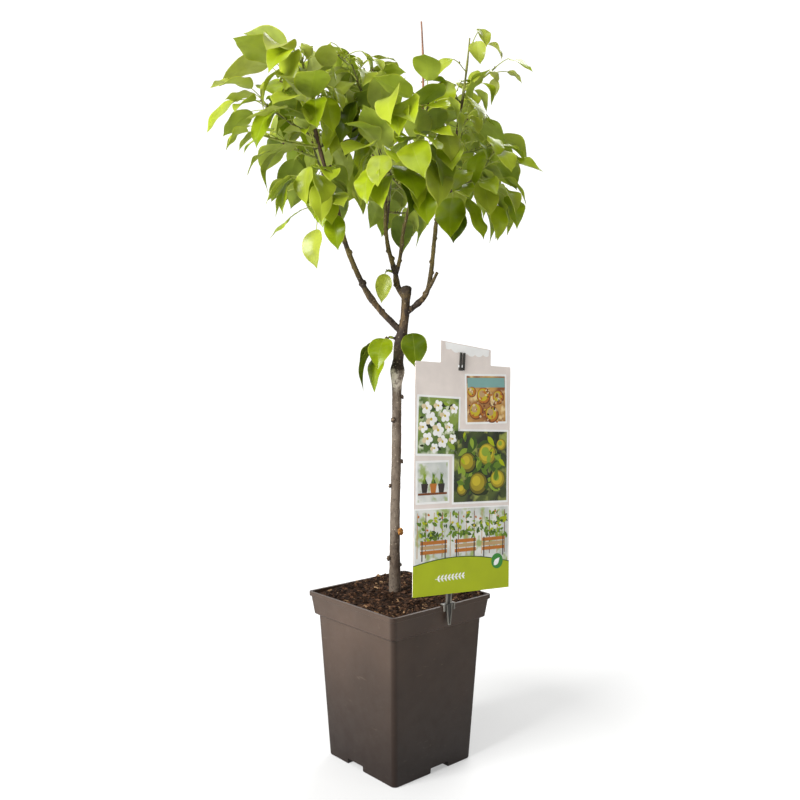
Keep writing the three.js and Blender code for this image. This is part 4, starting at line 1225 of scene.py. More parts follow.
def budMaterial(name, dark, light, pale):
    nodes = Finish(name, 0.7, 0.3)
    scales = nodes.mix(nodes.band(nodes.noise(380, 4), 0.4, 0.6), dark, light)
    colour = nodes.mix(nodes.band(nodes.noise(520, 3), 0.56, 0.64), scales, pale)
    return nodes.done(colour, nodes.bump(nodes.noise(900, 4), 0.0006, 0.6))


def dressBuds():
    # the ends of the trunk's knobs, each a cluster of rough scales around a pale middle
    look, shape = budLook, bmesh.new()
    draws = seeded(look["seed"])
    for height, azimuth, size in buds:
        out, edge = budPlace(height, azimuth, size)[1:]
        slot = 0 if size > look["goldFrom"] else 1
        for k in range(look["scales"]):
            turn = look["turn"] * k + look["turnSpread"] * next(draws)
            around = turned(unit(np.cross(out, (0, 0, 1))), out, turn)
            spread = bud["radius"] * size * (look["ring"] if k else 0)
            raised = look["raised" if k else "middleRaised"]
            place = Vector(edge + around * spread * between(look["ringPart"], draws) + out * raised * size)
            radius = bud["radius"] * size * between(look["scalePart"], draws)
            made = bmesh.ops.create_icosphere(shape, subdivisions=2, radius=radius)
            for vert in made["verts"]:
                uneven = noise.noise(vert.co * look["roughScale"] + place)
                vert.co = vert.co * (1 + look["rough"] * uneven)
                vert.co += place
            for face in facesAt(made["verts"]):
                face.material_index = slot if k else slot + 2
    materials = [budMaterial("bud_gold", (84, 50, 22), (164, 108, 40), (206, 158, 80)),
                 budMaterial("bud_bark", (34, 26, 19), (66, 51, 38), (112, 94, 74)),
                 budMaterial("bud_gold_end", (150, 98, 38), (214, 160, 72), (226, 184, 104)),
                 budMaterial("bud_pale_end", (92, 76, 58), (150, 130, 104), (176, 158, 130))]
    piece = objectFrom("trunk_buds", shape, materials)
    shadeSmooth(piece, look["sharp"])
    finishPiece(piece, "bark", "trunk")


print("dressing the limbs")
dressLimbs()
dressBuds()


# Pot

pot = {
    "turn": 41.4, "height": 245, "baseHalf": 74.6, "wall": 2, "floor": 10, "corner": 7, "cornerSteps": 7,
    "lip": 6, "rimHalf": 96.1, "collarFoot": 211, "collarHalf": (90.6, 94), "bodyTop": 85.5,
    "chamfer": (1, 1.5), "collarSlope": 1.5, "lipSlope": 0.8, "edgeRound": 0.7, "roundFrom": 28, "sharp": 40,
    "light": (74, 57, 45), "dark": (61, 46, 35), "low": (30, 16, 7), "scuff": (112, 97, 82),
    # painted shade on the corners: how dark it is, and its width about each corner and the height it starts
    # at in metres
    "cornerShade": 0.62, "cornerShadeWidth": (0.0095, 0.003), "cornerShadeFrom": (0.0, 0.004),
    # where the colour turns darker towards the foot and the plastic dustier, in metres, and how much of the
    # marks shows
    "lowDown": (0.2, 0.02), "dusty": (0.09, 0.0, 0.15, 0.8), "dustShare": 0.4, "scratchShare": 0.2,
    "rubShare": 0.28,
    # grain and reliefs: scale and detail, then depth in metres and strength
    "grain": (1400, 2), "grainRelief": (0.0002, 0.5), "dents": (22, 3), "dentRelief": (0.0012, 0.35),
}
# patterns of the plastic: scale, detail, roughness, stretch and distortion, and the band they are spread over
potPatterns = {
    "tone": ((9, 4, 0.5), (0.35, 0.65)),
    "dust": ((330, 3, 0.6), (0.66, 0.74)),
    "scratch": ((46, 2, 0.5, (1, 1, 7), 1.2), (0.7, 0.72)),
    "rub": ((75, 5, 0.7, (1, 1, 0.5), 2.0), (0.68, 0.71)),
    "shine": ((60, 5, 0.6), (0.3, 0.7, 0.34, 0.5)),
}
drain = {
    "width": 36, "height": 8, "depth": 26, "offset": 11, "round": 7, "over": 4,
    "slotWidth": 18, "slotDepth": 7, "slotIn": 14, "slotRound": 3,
}
planterTurn = Matrix.Rotation(math.radians(pot["turn"]), 4, "Z")


def potMaterial():
    nodes = Finish("pot_plastic", 0.45, 0.32)
    height = nodes.height()
    tone, dust, scratch, rub, shine = [nodes.pattern(*rule) for rule in potPatterns.values()]
    colour = nodes.mix(tone, pot["dark"], pot["light"])
    colour = nodes.mix(nodes.band(height, *pot["lowDown"]), colour, pot["low"])
    dust = nodes.times(dust, nodes.band(height, *pot["dusty"]))
    colour = nodes.mix(nodes.times(dust, pot["dustShare"]), colour, pot["scuff"])
    worn = nodes.math("MAXIMUM", nodes.times(scratch, pot["scratchShare"]), nodes.times(rub, pot["rubShare"]))
    colour = nodes.mix(worn, colour, pot["scuff"])
    # painted shade: the rounded corners are darkened to stand in for the dark reflection they catch from in
    # front
    own = nodes.place(turn=(0, 0, -math.radians(pot["turn"])))
    sides = [nodes.math("ABSOLUTE", nodes.along(axis, own)) for axis in ("X", "Y")]
    gap = nodes.math("ABSOLUTE", nodes.math("SUBTRACT", *sides))
    corner = nodes.band(gap, *pot["cornerShadeWidth"], 0, pot["cornerShade"])
    corner = nodes.times(corner, nodes.band(height, *pot["cornerShadeFrom"]))
    colour = nodes.mix(corner, colour, pot["low"])
    nodes.link(shine, nodes.shader.inputs["Roughness"])
    grain = nodes.bump(nodes.noise(*pot["grain"]), *pot["grainRelief"])
    return nodes.done(colour, nodes.bump(nodes.noise(*pot["dents"]), *pot["dentRelief"], grain))


def movedOut(value, old, new):
    # a coordinate of the rounded square carried from one half width and corner radius to the next
    part = (abs(value) - old[0] + old[2]) / old[2]
    return math.copysign(new[0] - new[2] + new[2] * part, value)


def extrudeSquare(shape, face, old, new):
    # the square carried on to its next half width, height and corner radius
    made = bmesh.ops.extrude_face_region(shape, geom=[face])
    for vert in newVerts(made):
        vert.co = Vector((movedOut(vert.co.x, old, new), movedOut(vert.co.y, old, new), new[1]))
    return next(item for item in made["geom"] if isinstance(item, bmesh.types.BMFace))


def potProfile():
    # up the outside and down the inside: half width, height and corner radius
    base, low, high, rim = pot["baseHalf"], *pot["collarHalf"], pot["rimHalf"]
    wall, corner, top, chamfer = pot["wall"], pot["corner"], pot["height"], pot["chamfer"]
    lip, lipFoot = top - pot["lip"], top - pot["lip"] - pot["lipSlope"]
    under, over = pot["collarFoot"] - pot["collarSlope"], pot["collarFoot"] + pot["collarSlope"]
    outside = [(base - chamfer[0], 0), (base, chamfer[1]), (pot["bodyTop"], under), (low, over),
               (high, lipFoot), (rim, lip), (rim, top)]
    inside = [(high, top), (high, lipFoot), (low, over), (pot["bodyTop"], under), (base, pot["floor"])]
    return ([(half, height, corner) for half, height in outside]
            + [(half - wall, height, corner - wall) for half, height in inside])


def dressPot():
    profile = potProfile()
    shape = bmesh.new()
    bmesh.ops.create_grid(shape, x_segments=1, y_segments=1, size=profile[0][0])
    roundOff(shape, shape.verts[:], pot["corner"], pot["cornerSteps"], "VERTICES")
    shape.faces.ensure_lookup_table()
    face = shape.faces[0]
    for k, (old, new) in enumerate(zip(profile, profile[1:])):
        raised = extrudeSquare(shape, face, old, new)
        if k:
            bmesh.ops.delete(shape, geom=[face], context="FACES_ONLY")
        face = raised
    bmesh.ops.recalc_face_normals(shape, faces=shape.faces)
    piece = objectFrom("nursery_pot", shape, [potMaterial()])
    channels = (drain["width"], drain["depth"] + drain["over"], drain["height"] + drain["over"])
    channelsIn, channelsUp = (drain["depth"] - drain["over"]) / 2, (drain["height"] - drain["over"]) / 2
    slots = (drain["slotWidth"], drain["slotDepth"], pot["floor"] + drain["over"])
    slotsUp = pot["floor"] / 2 + drain["over"]
    cutters = [potCutter(channels, channelsIn, channelsUp, drain["round"]),
               potCutter(slots, drain["slotIn"], slotsUp, drain["slotRound"])]
    for cutter in cutters:
        addCut(piece, cutter)
    addModifier(piece, "BEVEL", width=pot["edgeRound"] * mm, segments=2, limit_method="ANGLE",
                angle_limit=math.radians(pot["roundFrom"]), profile=0.5)
    bakeModifiers(piece, *cutters)
    piece.data.transform(planterTurn)
    shadeSmooth(piece, pot["sharp"])
    # flat faces keep flat light beside rounded edges
    addModifier(piece, "WEIGHTED_NORMAL", mode="FACE_AREA", weight=50, keep_sharp=True)
    bakeModifiers(piece)
    finishPiece(piece, "pot", "pot")


def potCutter(size, inward, up, corner):
    # one box under each of the four sides, for the drainage channels or the slots from them through the floor
    shape = bmesh.new()
    for side in range(4):
        offset = drain["offset"] if side % 2 == 0 else -drain["offset"]
        turn = Matrix.Rotation(math.radians(90 * side), 4, "Z")
        edges = addBox(shape, size, turn @ Matrix.Translation((offset, inward - pot["baseHalf"], up)))
        rising = [edge for edge in edges if abs(edge.verts[0].co.z - edge.verts[1].co.z) > size[2] / 2]
        roundOff(shape, rising, corner, 5)
    return objectFrom("drain_cutter", shape)


print("dressing the pot")
dressPot()


# Soil

soil = {
    "edge": 238.5, "crown": 244.5, "half": 91.6, "corner": 5, "grid": 120, "depth": 22, "narrower": 0.985,
    "heap": 1.8, "heapFrom": 5, "heapOver": 55, "heapRight": 0.6, "footRise": 2.6, "footReach": 16,
    "lump": 1.9, "lumpScale": 0.06, "lumpLayer": 3.7, "sunk": 0.6,
}
chip = {
    "count": 3900, "seed": 4711, "length": (2.8, 6.2), "shortness": 2.6, "width": (0.28, 0.35),
    "height": (0.1, 0.16), "rough": 0.22, "tilt": (0.3, 0.32), "raised": (0.1, 0.5), "inside": 4,
    "corners": 3.5, "edge": 0.2, "stemGap": 7.6, "sharp": 40,
    # each kind with its two colours and its share
    "kinds": [
        ("chip_dark", (25, 16, 10), (48, 32, 21), 0.48),
        ("chip_brown", (47, 32, 22), (82, 58, 41), 0.34),
        ("chip_red", (68, 46, 33), (106, 76, 54), 0.145),
        ("chip_tan", (116, 88, 62), (170, 138, 102), 0.035),
    ],
}
stemFoot = planterTurn.inverted() @ Vector((-6.8, 2, 0))


def stemDistance(x, y):
    return math.hypot(x - stemFoot.x, y - stemFoot.y)


def soilHeight(x, y):
    away = max(abs(x), abs(y)) / soil["half"]
    heap = soil["edge"] + (soil["crown"] - soil["edge"]) * math.cos(min(away, 1) * math.pi / 2)
    # fuller towards the back and the right corner, and drawn up round the stem
    place = planterTurn @ Vector((x, y, 0))
    behind = place.y + soil["heapRight"] * max(place.x, 0)
    share = min(max((behind - soil["heapFrom"]) / soil["heapOver"], 0), 1)
    heap += (soil["crown"] + soil["heap"] - heap) * share
    heap += soil["footRise"] * math.exp(-(stemDistance(x, y) / soil["footReach"]) ** 2)
    spot = Vector((x * soil["lumpScale"], y * soil["lumpScale"], soil["lumpLayer"]))
    return heap + soil["lump"] * noise.fractal(spot, 0.8, 2.1, 5) - soil["sunk"]


def insideSquare(x, y, half, radius):
    # a point of the square moved inside its rounded corners
    core = half - radius
    over = Vector((max(abs(x) - core, 0), max(abs(y) - core, 0)))
    if over.x > 0 and over.y > 0 and over.length > radius:
        over = over * (radius / over.length)
        return math.copysign(core + over.x, x), math.copysign(core + over.y, y)
    return x, y


def soilMaterial(name, dark, light):
    return cloudedMaterial(name, dark, light, gloss=(0.9, 0.12), cloud=(190, 6, 0.65), spread=(0.4, 0.64),
                           grain=(520, 6, 0.7), relief=(0.002, 0.8))


def dressSoil():
    shape = bmesh.new()
    bmesh.ops.create_grid(shape, x_segments=soil["grid"], y_segments=soil["grid"], size=soil["half"])
    for vert in shape.verts:
        x, y = insideSquare(vert.co.x, vert.co.y, soil["half"], soil["corner"])
        vert.co = Vector((x, y, soilHeight(x, y)))
    for vert in newVerts(bmesh.ops.extrude_face_region(shape, geom=shape.faces[:])):
        vert.co.x *= soil["narrower"]
        vert.co.y *= soil["narrower"]
        vert.co.z = soil["edge"] - soil["depth"]
    bmesh.ops.recalc_face_normals(shape, faces=shape.faces)
    piece = objectFrom("soil_bed", shape, [soilMaterial("soil_fines", (26, 17, 11), (56, 37, 24))])
    piece.data.transform(planterTurn)
    shadeSmooth(piece)
    finishPiece(piece, "soil", "soil")


def chipBlock():
    shape = bmesh.new()
    bmesh.ops.create_cube(shape, size=2)
    bmesh.ops.subdivide_edges(shape, edges=shape.edges, cuts=1, use_grid_fill=True)
    for vert in shape.verts:
        vert.co = vert.co * (0.72 + 0.28 / max(vert.co.length, 0.6))
    return templateArrays(shape)


def dressChips():
    # bark chips and crumbs, as joined copies of a rough block
    block, blockFaces = chipBlock()
    draw = np.random.default_rng(chip["seed"])
    count = chip["count"]
    lengths = ranged(chip["length"], draw.random(count) ** chip["shortness"])
    widths, heights = [lengths * ranged(chip[key], draw.random(count)) for key in ("width", "height")]
    sizes = np.c_[lengths, widths, heights]
    places = (draw.random((count, 2)) * 2 - 1) * (soil["half"] - chip["inside"])
    limit = soil["half"] - chip["edge"]
    shares = [kind[3] for kind in chip["kinds"]]
    points, faces, slots = [], [], []
    for size, place in zip(sizes, places):
        x, y = insideSquare(*place, soil["half"] - chip["corners"], soil["corner"] - 1)
        if stemDistance(x, y) < chip["stemGap"]:
            continue
        turn = Matrix.Rotation(draw.random() * 6.283, 3, "Z")
        for axis, tilt in zip("XY", chip["tilt"]):
            turn = turn @ Matrix.Rotation(draw.normal() * tilt, 3, axis)
        rough = block * (1 + chip["rough"] * (draw.random(block.shape) - 0.5))
        body = (rough * size / 2) @ np.array(turn).T
        body += (x, y, soilHeight(x, y) + size[2] * ranged(chip["raised"], draw.random()))
        body[:, :2] = np.clip(body[:, :2], -limit, limit)
        faces.append(blockFaces + len(points) * len(block))
        points.append(body)
        slots.append(np.full(len(blockFaces), draw.choice(len(shares), p=shares)))
    materials = [soilMaterial(*kind[:3]) for kind in chip["kinds"]]
    piece = objectFromParts("soil_chips", points, faces, slots, materials)
    piece.data.transform(planterTurn)
    shadeSmooth(piece, chip["sharp"])
    finishPiece(piece, "soil", "soil")


print("dressing the soil")
dressSoil()
dressChips()


# Label

label = {
    "place": (7, -97.6, 247), "turn": -6.5, "lean": 3.7, "tilt": 3.5,
    "left": -64, "width": 173, "foot": 14.3, "height": 322, "thickness": 0.8, "corner": 1.6,
    "tabLeft": -20.5, "tabWidth": 91.2, "tabRise": 31, "tabDrop": 7.9,
    "slotHeight": 7, "slotGap": 1, "slotCut": 8, "layer": 0.07, "sunk": 0.02, "sharp": 40,
}
clip = {
    # the stem behind the card
    "stemTilt": 2.9, "width": 9, "depth": 3, "length": 351.6, "shaftEnd": 3, "rail": 2, "web": (6, 1.0),
    "prongWidth": 4, "prongDepth": 1.6, "prongLength": 17, "prongFoot": 8, "prongSpread": 0.8,
    "bridge": (8, 4),
    # the saddle on the rim: plate, tongue inside, arms and hooks at its sides
    "outsideGap": 1.1, "insideGap": 1, "plate": (22, 2.2), "plateOver": 2,
    "tongue": (2, 5), "tongueDown": 2.4,
    "armOut": 9.5, "arm": (3.4, 1.4), "armUp": 1.9, "hook": (3, 2.2, 10), "hookUp": 2.4,
    # the blade in front of the collar with its rim, and how far their faces lie from the saddle's outside
    "bladeLength": 29, "bladeTop": 12, "bladeTip": 4.2, "bladeUp": 1,
    "rimTop": 1.7, "rimTip": 1.3, "rimFoot": 1.8,
    "bladeFaces": (-0.2, 0.9), "rimFaces": (-1.1, 0.6), "footFaces": (-1.05, 0.55),
    "dark": ((42, 40, 36), (58, 56, 50)), "edge": ((104, 101, 94), (132, 129, 120)), "sharp": 40,
}
labelPlace = (planterTurn @ Matrix.Translation(label["place"])
              @ Matrix.Rotation(math.radians(label["turn"]), 4, "Z")
              @ Matrix.Rotation(math.radians(-label["lean"]), 4, "X")
              @ Matrix.Rotation(math.radians(label["tilt"]), 4, "Y"))
slotFoot = clip["length"] - clip["prongLength"] - label["slotHeight"]


def inkMaterial(name, colour):
    return cloudedMaterial("ink_" + name, shaded(colour, 0.96), colour, gloss=(0.38, 0.32), cloud=(30, 3),
                           spread=(0.35, 0.65), grain=(260, 2), relief=(0.0002, 0.3))


def printMaterial(name, first, second, third, scale):
    # an out-of-focus picture ground: three colours in soft clouds
    nodes = Finish("print_" + name, 0.36, 0.45)
    one = nodes.band(nodes.noise(scale, 2, 0.5, (1, 1, 1), 0.5), 0.4, 0.6)
    two = nodes.band(nodes.noise(scale * 2.3, 2, 0.5), 0.52, 0.66)
    return nodes.done(nodes.mix(two, nodes.mix(one, first, second), third))


labelInks = {
    "grey": (238, 227, 219), "white": (253, 252, 249), "lime": (174, 188, 4), "green": (96, 128, 30),
    "leafy": (62, 88, 26), "deep": (40, 50, 20), "yellow": (206, 186, 44), "gold": (170, 152, 34),
    "olive": (112, 102, 26), "orange": (192, 116, 42), "brown": (122, 70, 34), "dark": (52, 44, 38),
    "cream": (228, 210, 168), "tan": (196, 160, 112), "teal": (132, 176, 170), "fresh": (142, 168, 48),
    "emblem": (58, 140, 56),
}
labelMaterials = [inkMaterial(name, colour) for name, colour in labelInks.items()] + [
    printMaterial("warm", (142, 82, 40), (204, 158, 84), (234, 208, 150), 34),
    printMaterial("meadow", (78, 108, 36), (136, 158, 62), (214, 220, 190), 30),
    printMaterial("orchard", (34, 42, 18), (78, 92, 30), (150, 158, 70), 26),
    printMaterial("sky", (200, 204, 198), (232, 232, 226), (160, 178, 104), 30),
]
(grey, white, lime, green, leafy, deep, yellow, gold, olive, orange, brown, dark, cream, tan, teal, fresh,
 emblem, warm, meadow, orchard, sky) = range(len(labelMaterials))


def addPlate(shape, outline, front, back, slot):
    # a flat plate from its outline (x, z), between two depths
    face = shape.faces.new([shape.verts.new((x, back, z)) for x, z in outline])
    moved = newVerts(bmesh.ops.extrude_face_region(shape, geom=[face]))
    for vert in moved:
        vert.co.y = front
    for side in facesAt(moved) | {face}:
        side.material_index = slot


def addInk(shape, corners, layer, slot):
    # a thin plate on the card's front from its corners (x, z), lying on the given layer
    front = -label["thickness"] - label["layer"] * (layer - 1) - label["layer"]
    addPlate(shape, corners, front, -label["thickness"] + label["sunk"], slot)


def turnedPoints(points, x, z, tilt):
    # points turned about the origin and then moved to (x, z)
    c, s = math.cos(math.radians(tilt)), math.sin(math.radians(tilt))
    return [(x + px * c - pz * s, z + px * s + pz * c) for px, pz in points]


def roundCorners(x, z, width, height, radius=0.0, tilt=0.0, steps=4):
    # corners (x, z) of a plate with rounded corners, turned about its middle
    points = []
    mx, mz = width / 2, height / 2
    for k, (cx, cz) in enumerate(((width, height), (0, height), (0, 0), (width, 0))):
        inX = cx - math.copysign(radius, cx - mx)
        inZ = cz - math.copysign(radius, cz - mz)
        for i in range(steps + 1 if radius else 1):
            angle = math.pi / 2 * (k + (i / steps if radius else 0.5))
            points.append((inX + radius * math.cos(angle) - mx, inZ + radius * math.sin(angle) - mz))
    return turnedPoints(points, x + mx, z + mz, tilt)


def roundDot(x, z, radius, stretch=1.0, tilt=0.0, steps=16):
    angles = [2 * math.pi * i / steps for i in range(steps)]
    return turnedPoints([(radius * math.cos(a), radius * stretch * math.sin(a)) for a in angles], x, z, tilt)


def leafShape(x, z, length, breadth, tilt, steps=7):
    bulge = [math.sin(math.pi * (i / steps) ** 0.8) for i in range(steps + 1)]
    side = [(length * i / steps, breadth / 2 * value) for i, value in enumerate(bulge)]
    return turnedPoints(side + [(px, -pz) for px, pz in reversed(side[1:-1])], x, z, tilt)


def picture(shape, x, z, width, height, ground, tilt=0.0, border=3.0):
    # a white-edged picture with its ground colour
    inner = x + border, z + border, width - 2 * border, height - 2 * border
    addInk(shape, roundCorners(x, z, width, height, 1.0, tilt), 1, white)
    addInk(shape, roundCorners(*inner, 0, tilt), 2, ground)


def scatter(shape, count, area, sizes, slots, layer, seed, leaf=0.0):
    # many small dots or leaves over an area (x, z, width, height), each a little before the last one
    draws = seeded(seed)
    x, z, width, height = area
    for k in range(count):
        size = between(sizes, draws)
        mx = x + size + (width - 2 * size) * next(draws)
        mz = z + size + (height - 2 * size) * next(draws)
        slot = slots[int(next(draws) * len(slots))]
        turn = 360 * next(draws)
        corners = roundDot(mx, mz, size, 0.75, turn, 7)
        if leaf:
            a = math.radians(turn)
            base = mx - size * math.cos(a), mz - size * math.sin(a)
            corners = leafShape(*base, 2 * size, 2 * size * leaf, turn, 5)
        addInk(shape, corners, layer + 1.5 * k / count, slot)


def flower(shape, x, z, size, tilt, layer):
    for k in range(5):
        turn = tilt + 72 * k
        a = math.radians(turn)
        place = x + size * 0.55 * math.cos(a), z + size * 0.55 * math.sin(a)
        petal = roundDot(*place, size * 0.5, 0.85, turn, 10)
        addInk(shape, petal, layer + 0.1 * k, cream if k == 2 else white)
    addInk(shape, roundDot(x, z, size * 0.22, steps=7), layer + 0.6, (yellow, fresh)[int(x) % 2])


def fruit(shape, x, z, radius, layer, slots):
    # a round fruit in steps from its shaded edge to its light side
    for k, (part, shift) in enumerate(((1.0, 0), (0.9, 0.05), (0.72, 0.12), (0.42, 0.24))):
        dot = roundDot(x - radius * shift, z + radius * shift, radius * part, 0.95, 0, 20)
        addInk(shape, dot, layer + 0.15 * k, slots[k])


def slopedBar(left, right, foot, height, slope):
    # the four corners of a bar that rises or falls a little to its right
    return [(left, foot), (right, foot + slope), (right, foot + slope + height), (left, foot + height)]


def printWarm(shape):
    # a tray of round tarts
    picture(shape, 24, 252, 78, 72, warm, 2)
    addInk(shape, [(28, 303), (98, 306), (97, 320), (27, 317)], 2.2, teal)
    tarts = [(44, 270, 13), (74, 266, 13), (58, 292, 13), (86, 291, 11), (36, 297, 8)]
    for k, (x, z, radius) in enumerate(tarts):
        around = x - radius, z - radius, 2 * radius, 2 * radius
        fruit(shape, x, z, radius, 2.4 + 0.05 * k, (brown, orange, yellow, tan))
        scatter(shape, 9, around, (1.4, 1.4), (cream, brown, orange, tan), 3.2, 40 + k)
    scatter(shape, 46, (29, 257, 68, 46), (0.9, 1.5), (cream, brown, orange, yellow, dark), 4.2, 53)


def printBlossom(shape):
    picture(shape, -61, 206, 76, 84, meadow, -1)
    scatter(shape, 34, (-57, 210, 68, 76), (4, 6), (leafy, green, fresh, deep), 2.2, 61, 0.42)
    flowers = [
        (-44, 272, 9, 10), (-24, 276, 8, 40), (-36, 257, 10, 70), (-12, 262, 9, 25), (-50, 246, 8, 55),
        (-24, 242, 10, 5), (-4, 246, 7, 33), (-42, 230, 9, 61), (-16, 226, 9, 12), (-30, 217, 7, 48),
        (4, 272, 7, 20), (2, 230, 7, 50)]
    for k, place in enumerate(flowers):
        flower(shape, *place, 4 + 0.05 * k)


def printOrchard(shape):
    inside = 6, 142, 96, 98
    picture(shape, 2, 138, 104, 106, orchard, 0)
    scatter(shape, 74, inside, (5, 9), (green, leafy, deep, leafy, fresh, deep), 2.2, 71, 0.44)
    pears = [(30, 196, 16), (66, 208, 17), (50, 166, 18), (86, 172, 14), (20, 158, 10), (92, 222, 9)]
    for k, place in enumerate(pears):
        slots = (olive, gold, yellow, fresh) if k % 2 else (deep, olive, gold, yellow)
        fruit(shape, *place, 4 + 0.1 * k, slots)
    scatter(shape, 26, inside, (4, 6), (green, leafy, fresh, lime), 5.2, 73, 0.42)


def printShelf(shape):
    # herbs in pots on a shelf
    picture(shape, -61, 140, 58, 60, sky, 1)
    addInk(shape, [(-57, 152), (-7, 153), (-7, 156), (-57, 155)], 2.2, brown)
    for k, x in enumerate((-46, -31, -17)):
        for i in range(9):
            herb = leafShape(x + i - 4, 166, 14 + 5 * math.sin(2.1 * i + k), 3.4, 66 + 6 * i, 5)
            addInk(shape, herb, 2.4 + 0.08 * i, (green, fresh, leafy)[i % 3])
        herbPot = [(x - 4, 155.5), (x + 4, 155.5), (x + 6, 168), (x - 6, 168)]
        addInk(shape, herbPot, 3.4, (dark, orange, dark)[k])


def printTerrace(shape):
    # a planter bench in front of a leafy fence
    picture(shape, -63, 48, 171, 86, sky, 0, 2)
    for i in range(12):
        x = -58 + 14.3 * i
        addInk(shape, slopedBar(x, x + 1.3, 66, 62, 0), 2.2, (tan, brown)[i % 2])
    for left, seed in ((-60, 81), (24, 82)):
        slots = (green, fresh, leafy, lime, green)
        scatter(shape, 62, (left, 84, 84, 47), (2.2, 3.6), slots, 2.3, seed, 0.5)
    scatter(shape, 16, (-58, 98, 160, 30), (1.4, 1), (orange, yellow, orange), 4.0, 83)
    for left, right in ((-52, -6), (8, 46), (58, 100)):
        for i, slot in enumerate((orange, tan, orange)):
            addInk(shape, slopedBar(left, right, 71 + 6.5 * i, 4.8, 0.6), 4.1, slot)
        for x in (left + 2, right - 4):
            addInk(shape, slopedBar(x, x + 1.8, 62, 28, 0), 4.3, dark)
        plants = left, 88, right - left, 17
        scatter(shape, 18, plants, (2.2, 2.6), (green, leafy, fresh), 4.4, 90 + left % 7, 0.5)


def printBand(shape):
    left, foot, width = label["left"], label["foot"], label["width"]
    for layer, rise, slot in ((5.0, 1.3, leafy), (5.2, 0, lime)):
        corners = [(left, foot), (left + width, foot)]
        for i in range(17):
            part = i / 16
            wave = 18 * math.sin(math.pi * (0.1 + 0.72 * part))
            corners.append((left + width * (1 - part), 46 + wave + rise))
        addInk(shape, corners, layer, slot)
    addInk(shape, roundDot(86, 54, 11, 1.0, 0, 26), 5.6, emblem)
    addInk(shape, leafShape(80, 48, 15, 8, 45), 5.8, white)
    addInk(shape, [(-26, 35.6), (26, 37.2), (26, 38), (-26, 36.4)], 5.5, white)
    for i in range(8):
        x = -22 + 6.2 * i
        for side in (1, -1):
            addInk(shape, leafShape(x, 36.4 + 0.03 * (x + 26), 6.5, 2.6, 48 * side, 5), 5.6, white)


def printSplash(shape):
    # a splash of white along the tab's top
    left, right = label["tabLeft"] + 8, label["tabLeft"] + label["tabWidth"] - 3
    top = label["foot"] + label["height"] + label["tabRise"] - 1
    slope = label["tabDrop"] / label["tabWidth"]
    corners = [(left, top - slope * 8), (right, top - slope * (right - label["tabLeft"]))]
    for i in range(61):
        part = i / 60
        drip = 5.5 + 5 * math.sin(math.pi * part) + 3.6 * abs(math.sin(5.5 * math.pi * part + 0.6)) ** 0.6
        x = right - (right - left) * part
        corners.append((x, top - slope * (x - label["tabLeft"]) - drip * (1 if 0 < i < 60 else 0.3)))
    addInk(shape, corners, 1, white)


def labelPlaceMetres():
    place = labelPlace.copy()
    place.translation = place.translation * mm
    return place


def dressCard():
    left, right, foot = label["left"], label["left"] + label["width"], label["foot"]
    top, thickness = foot + label["height"], label["thickness"]
    tabLeft, tabRight = label["tabLeft"], label["tabLeft"] + label["tabWidth"]
    outline = [(left, foot), (right, foot), (right, top), (tabRight, top),
               (tabRight, top + label["tabRise"] - label["tabDrop"]), (tabLeft, top + label["tabRise"]),
               (tabLeft, top), (left, top)]
    shape = bmesh.new()
    addPlate(shape, outline, -thickness, 0, grey)
    bmesh.ops.recalc_face_normals(shape, faces=shape.faces)
    corners = [edge for edge in shape.edges if abs(edge.verts[0].co.y - edge.verts[1].co.y) > thickness / 2]
    roundOff(shape, corners, label["corner"], 4)
    piece = objectFrom("label_card_plate", shape, labelMaterials)
    cut, gap = bmesh.new(), label["slotGap"]
    middle = math.tan(math.radians(clip["stemTilt"])) * slotFoot
    addBox(cut, (clip["width"] + 2 * gap, label["slotCut"], label["slotHeight"] + gap),
           Matrix.Translation((middle, 0, slotFoot + label["slotHeight"] / 2 - gap / 2)))
    cutter = objectFrom("slot_cutter", cut)
    addCut(piece, cutter)
    bakeModifiers(piece, cutter)
    piece.data.transform(labelPlaceMetres())
    shadeSmooth(piece, label["sharp"])
    finishPiece(piece, "card", "label_card")


def dressPrint():
    # a generic design of white-edged pictures over a green band
    shape = bmesh.new()
    for draw in (printWarm, printBlossom, printOrchard, printShelf, printTerrace, printBand, printSplash):
        draw(shape)
    bmesh.ops.recalc_face_normals(shape, faces=shape.faces)
    piece = objectFrom("label_print", shape, labelMaterials)
    piece.data.transform(labelPlaceMetres())
    finishPiece(piece, "card", "label_card")


# Clip

edgeSlot = 1  # the clip's second material


def roundedBox(shape, size, place, slot=0, edge=0.4):
    before = set(shape.faces)
    roundOff(shape, addBox(shape, size, Matrix.Translation(place)), edge, 2)
    for face in set(shape.faces) - before:
        face.material_index = slot


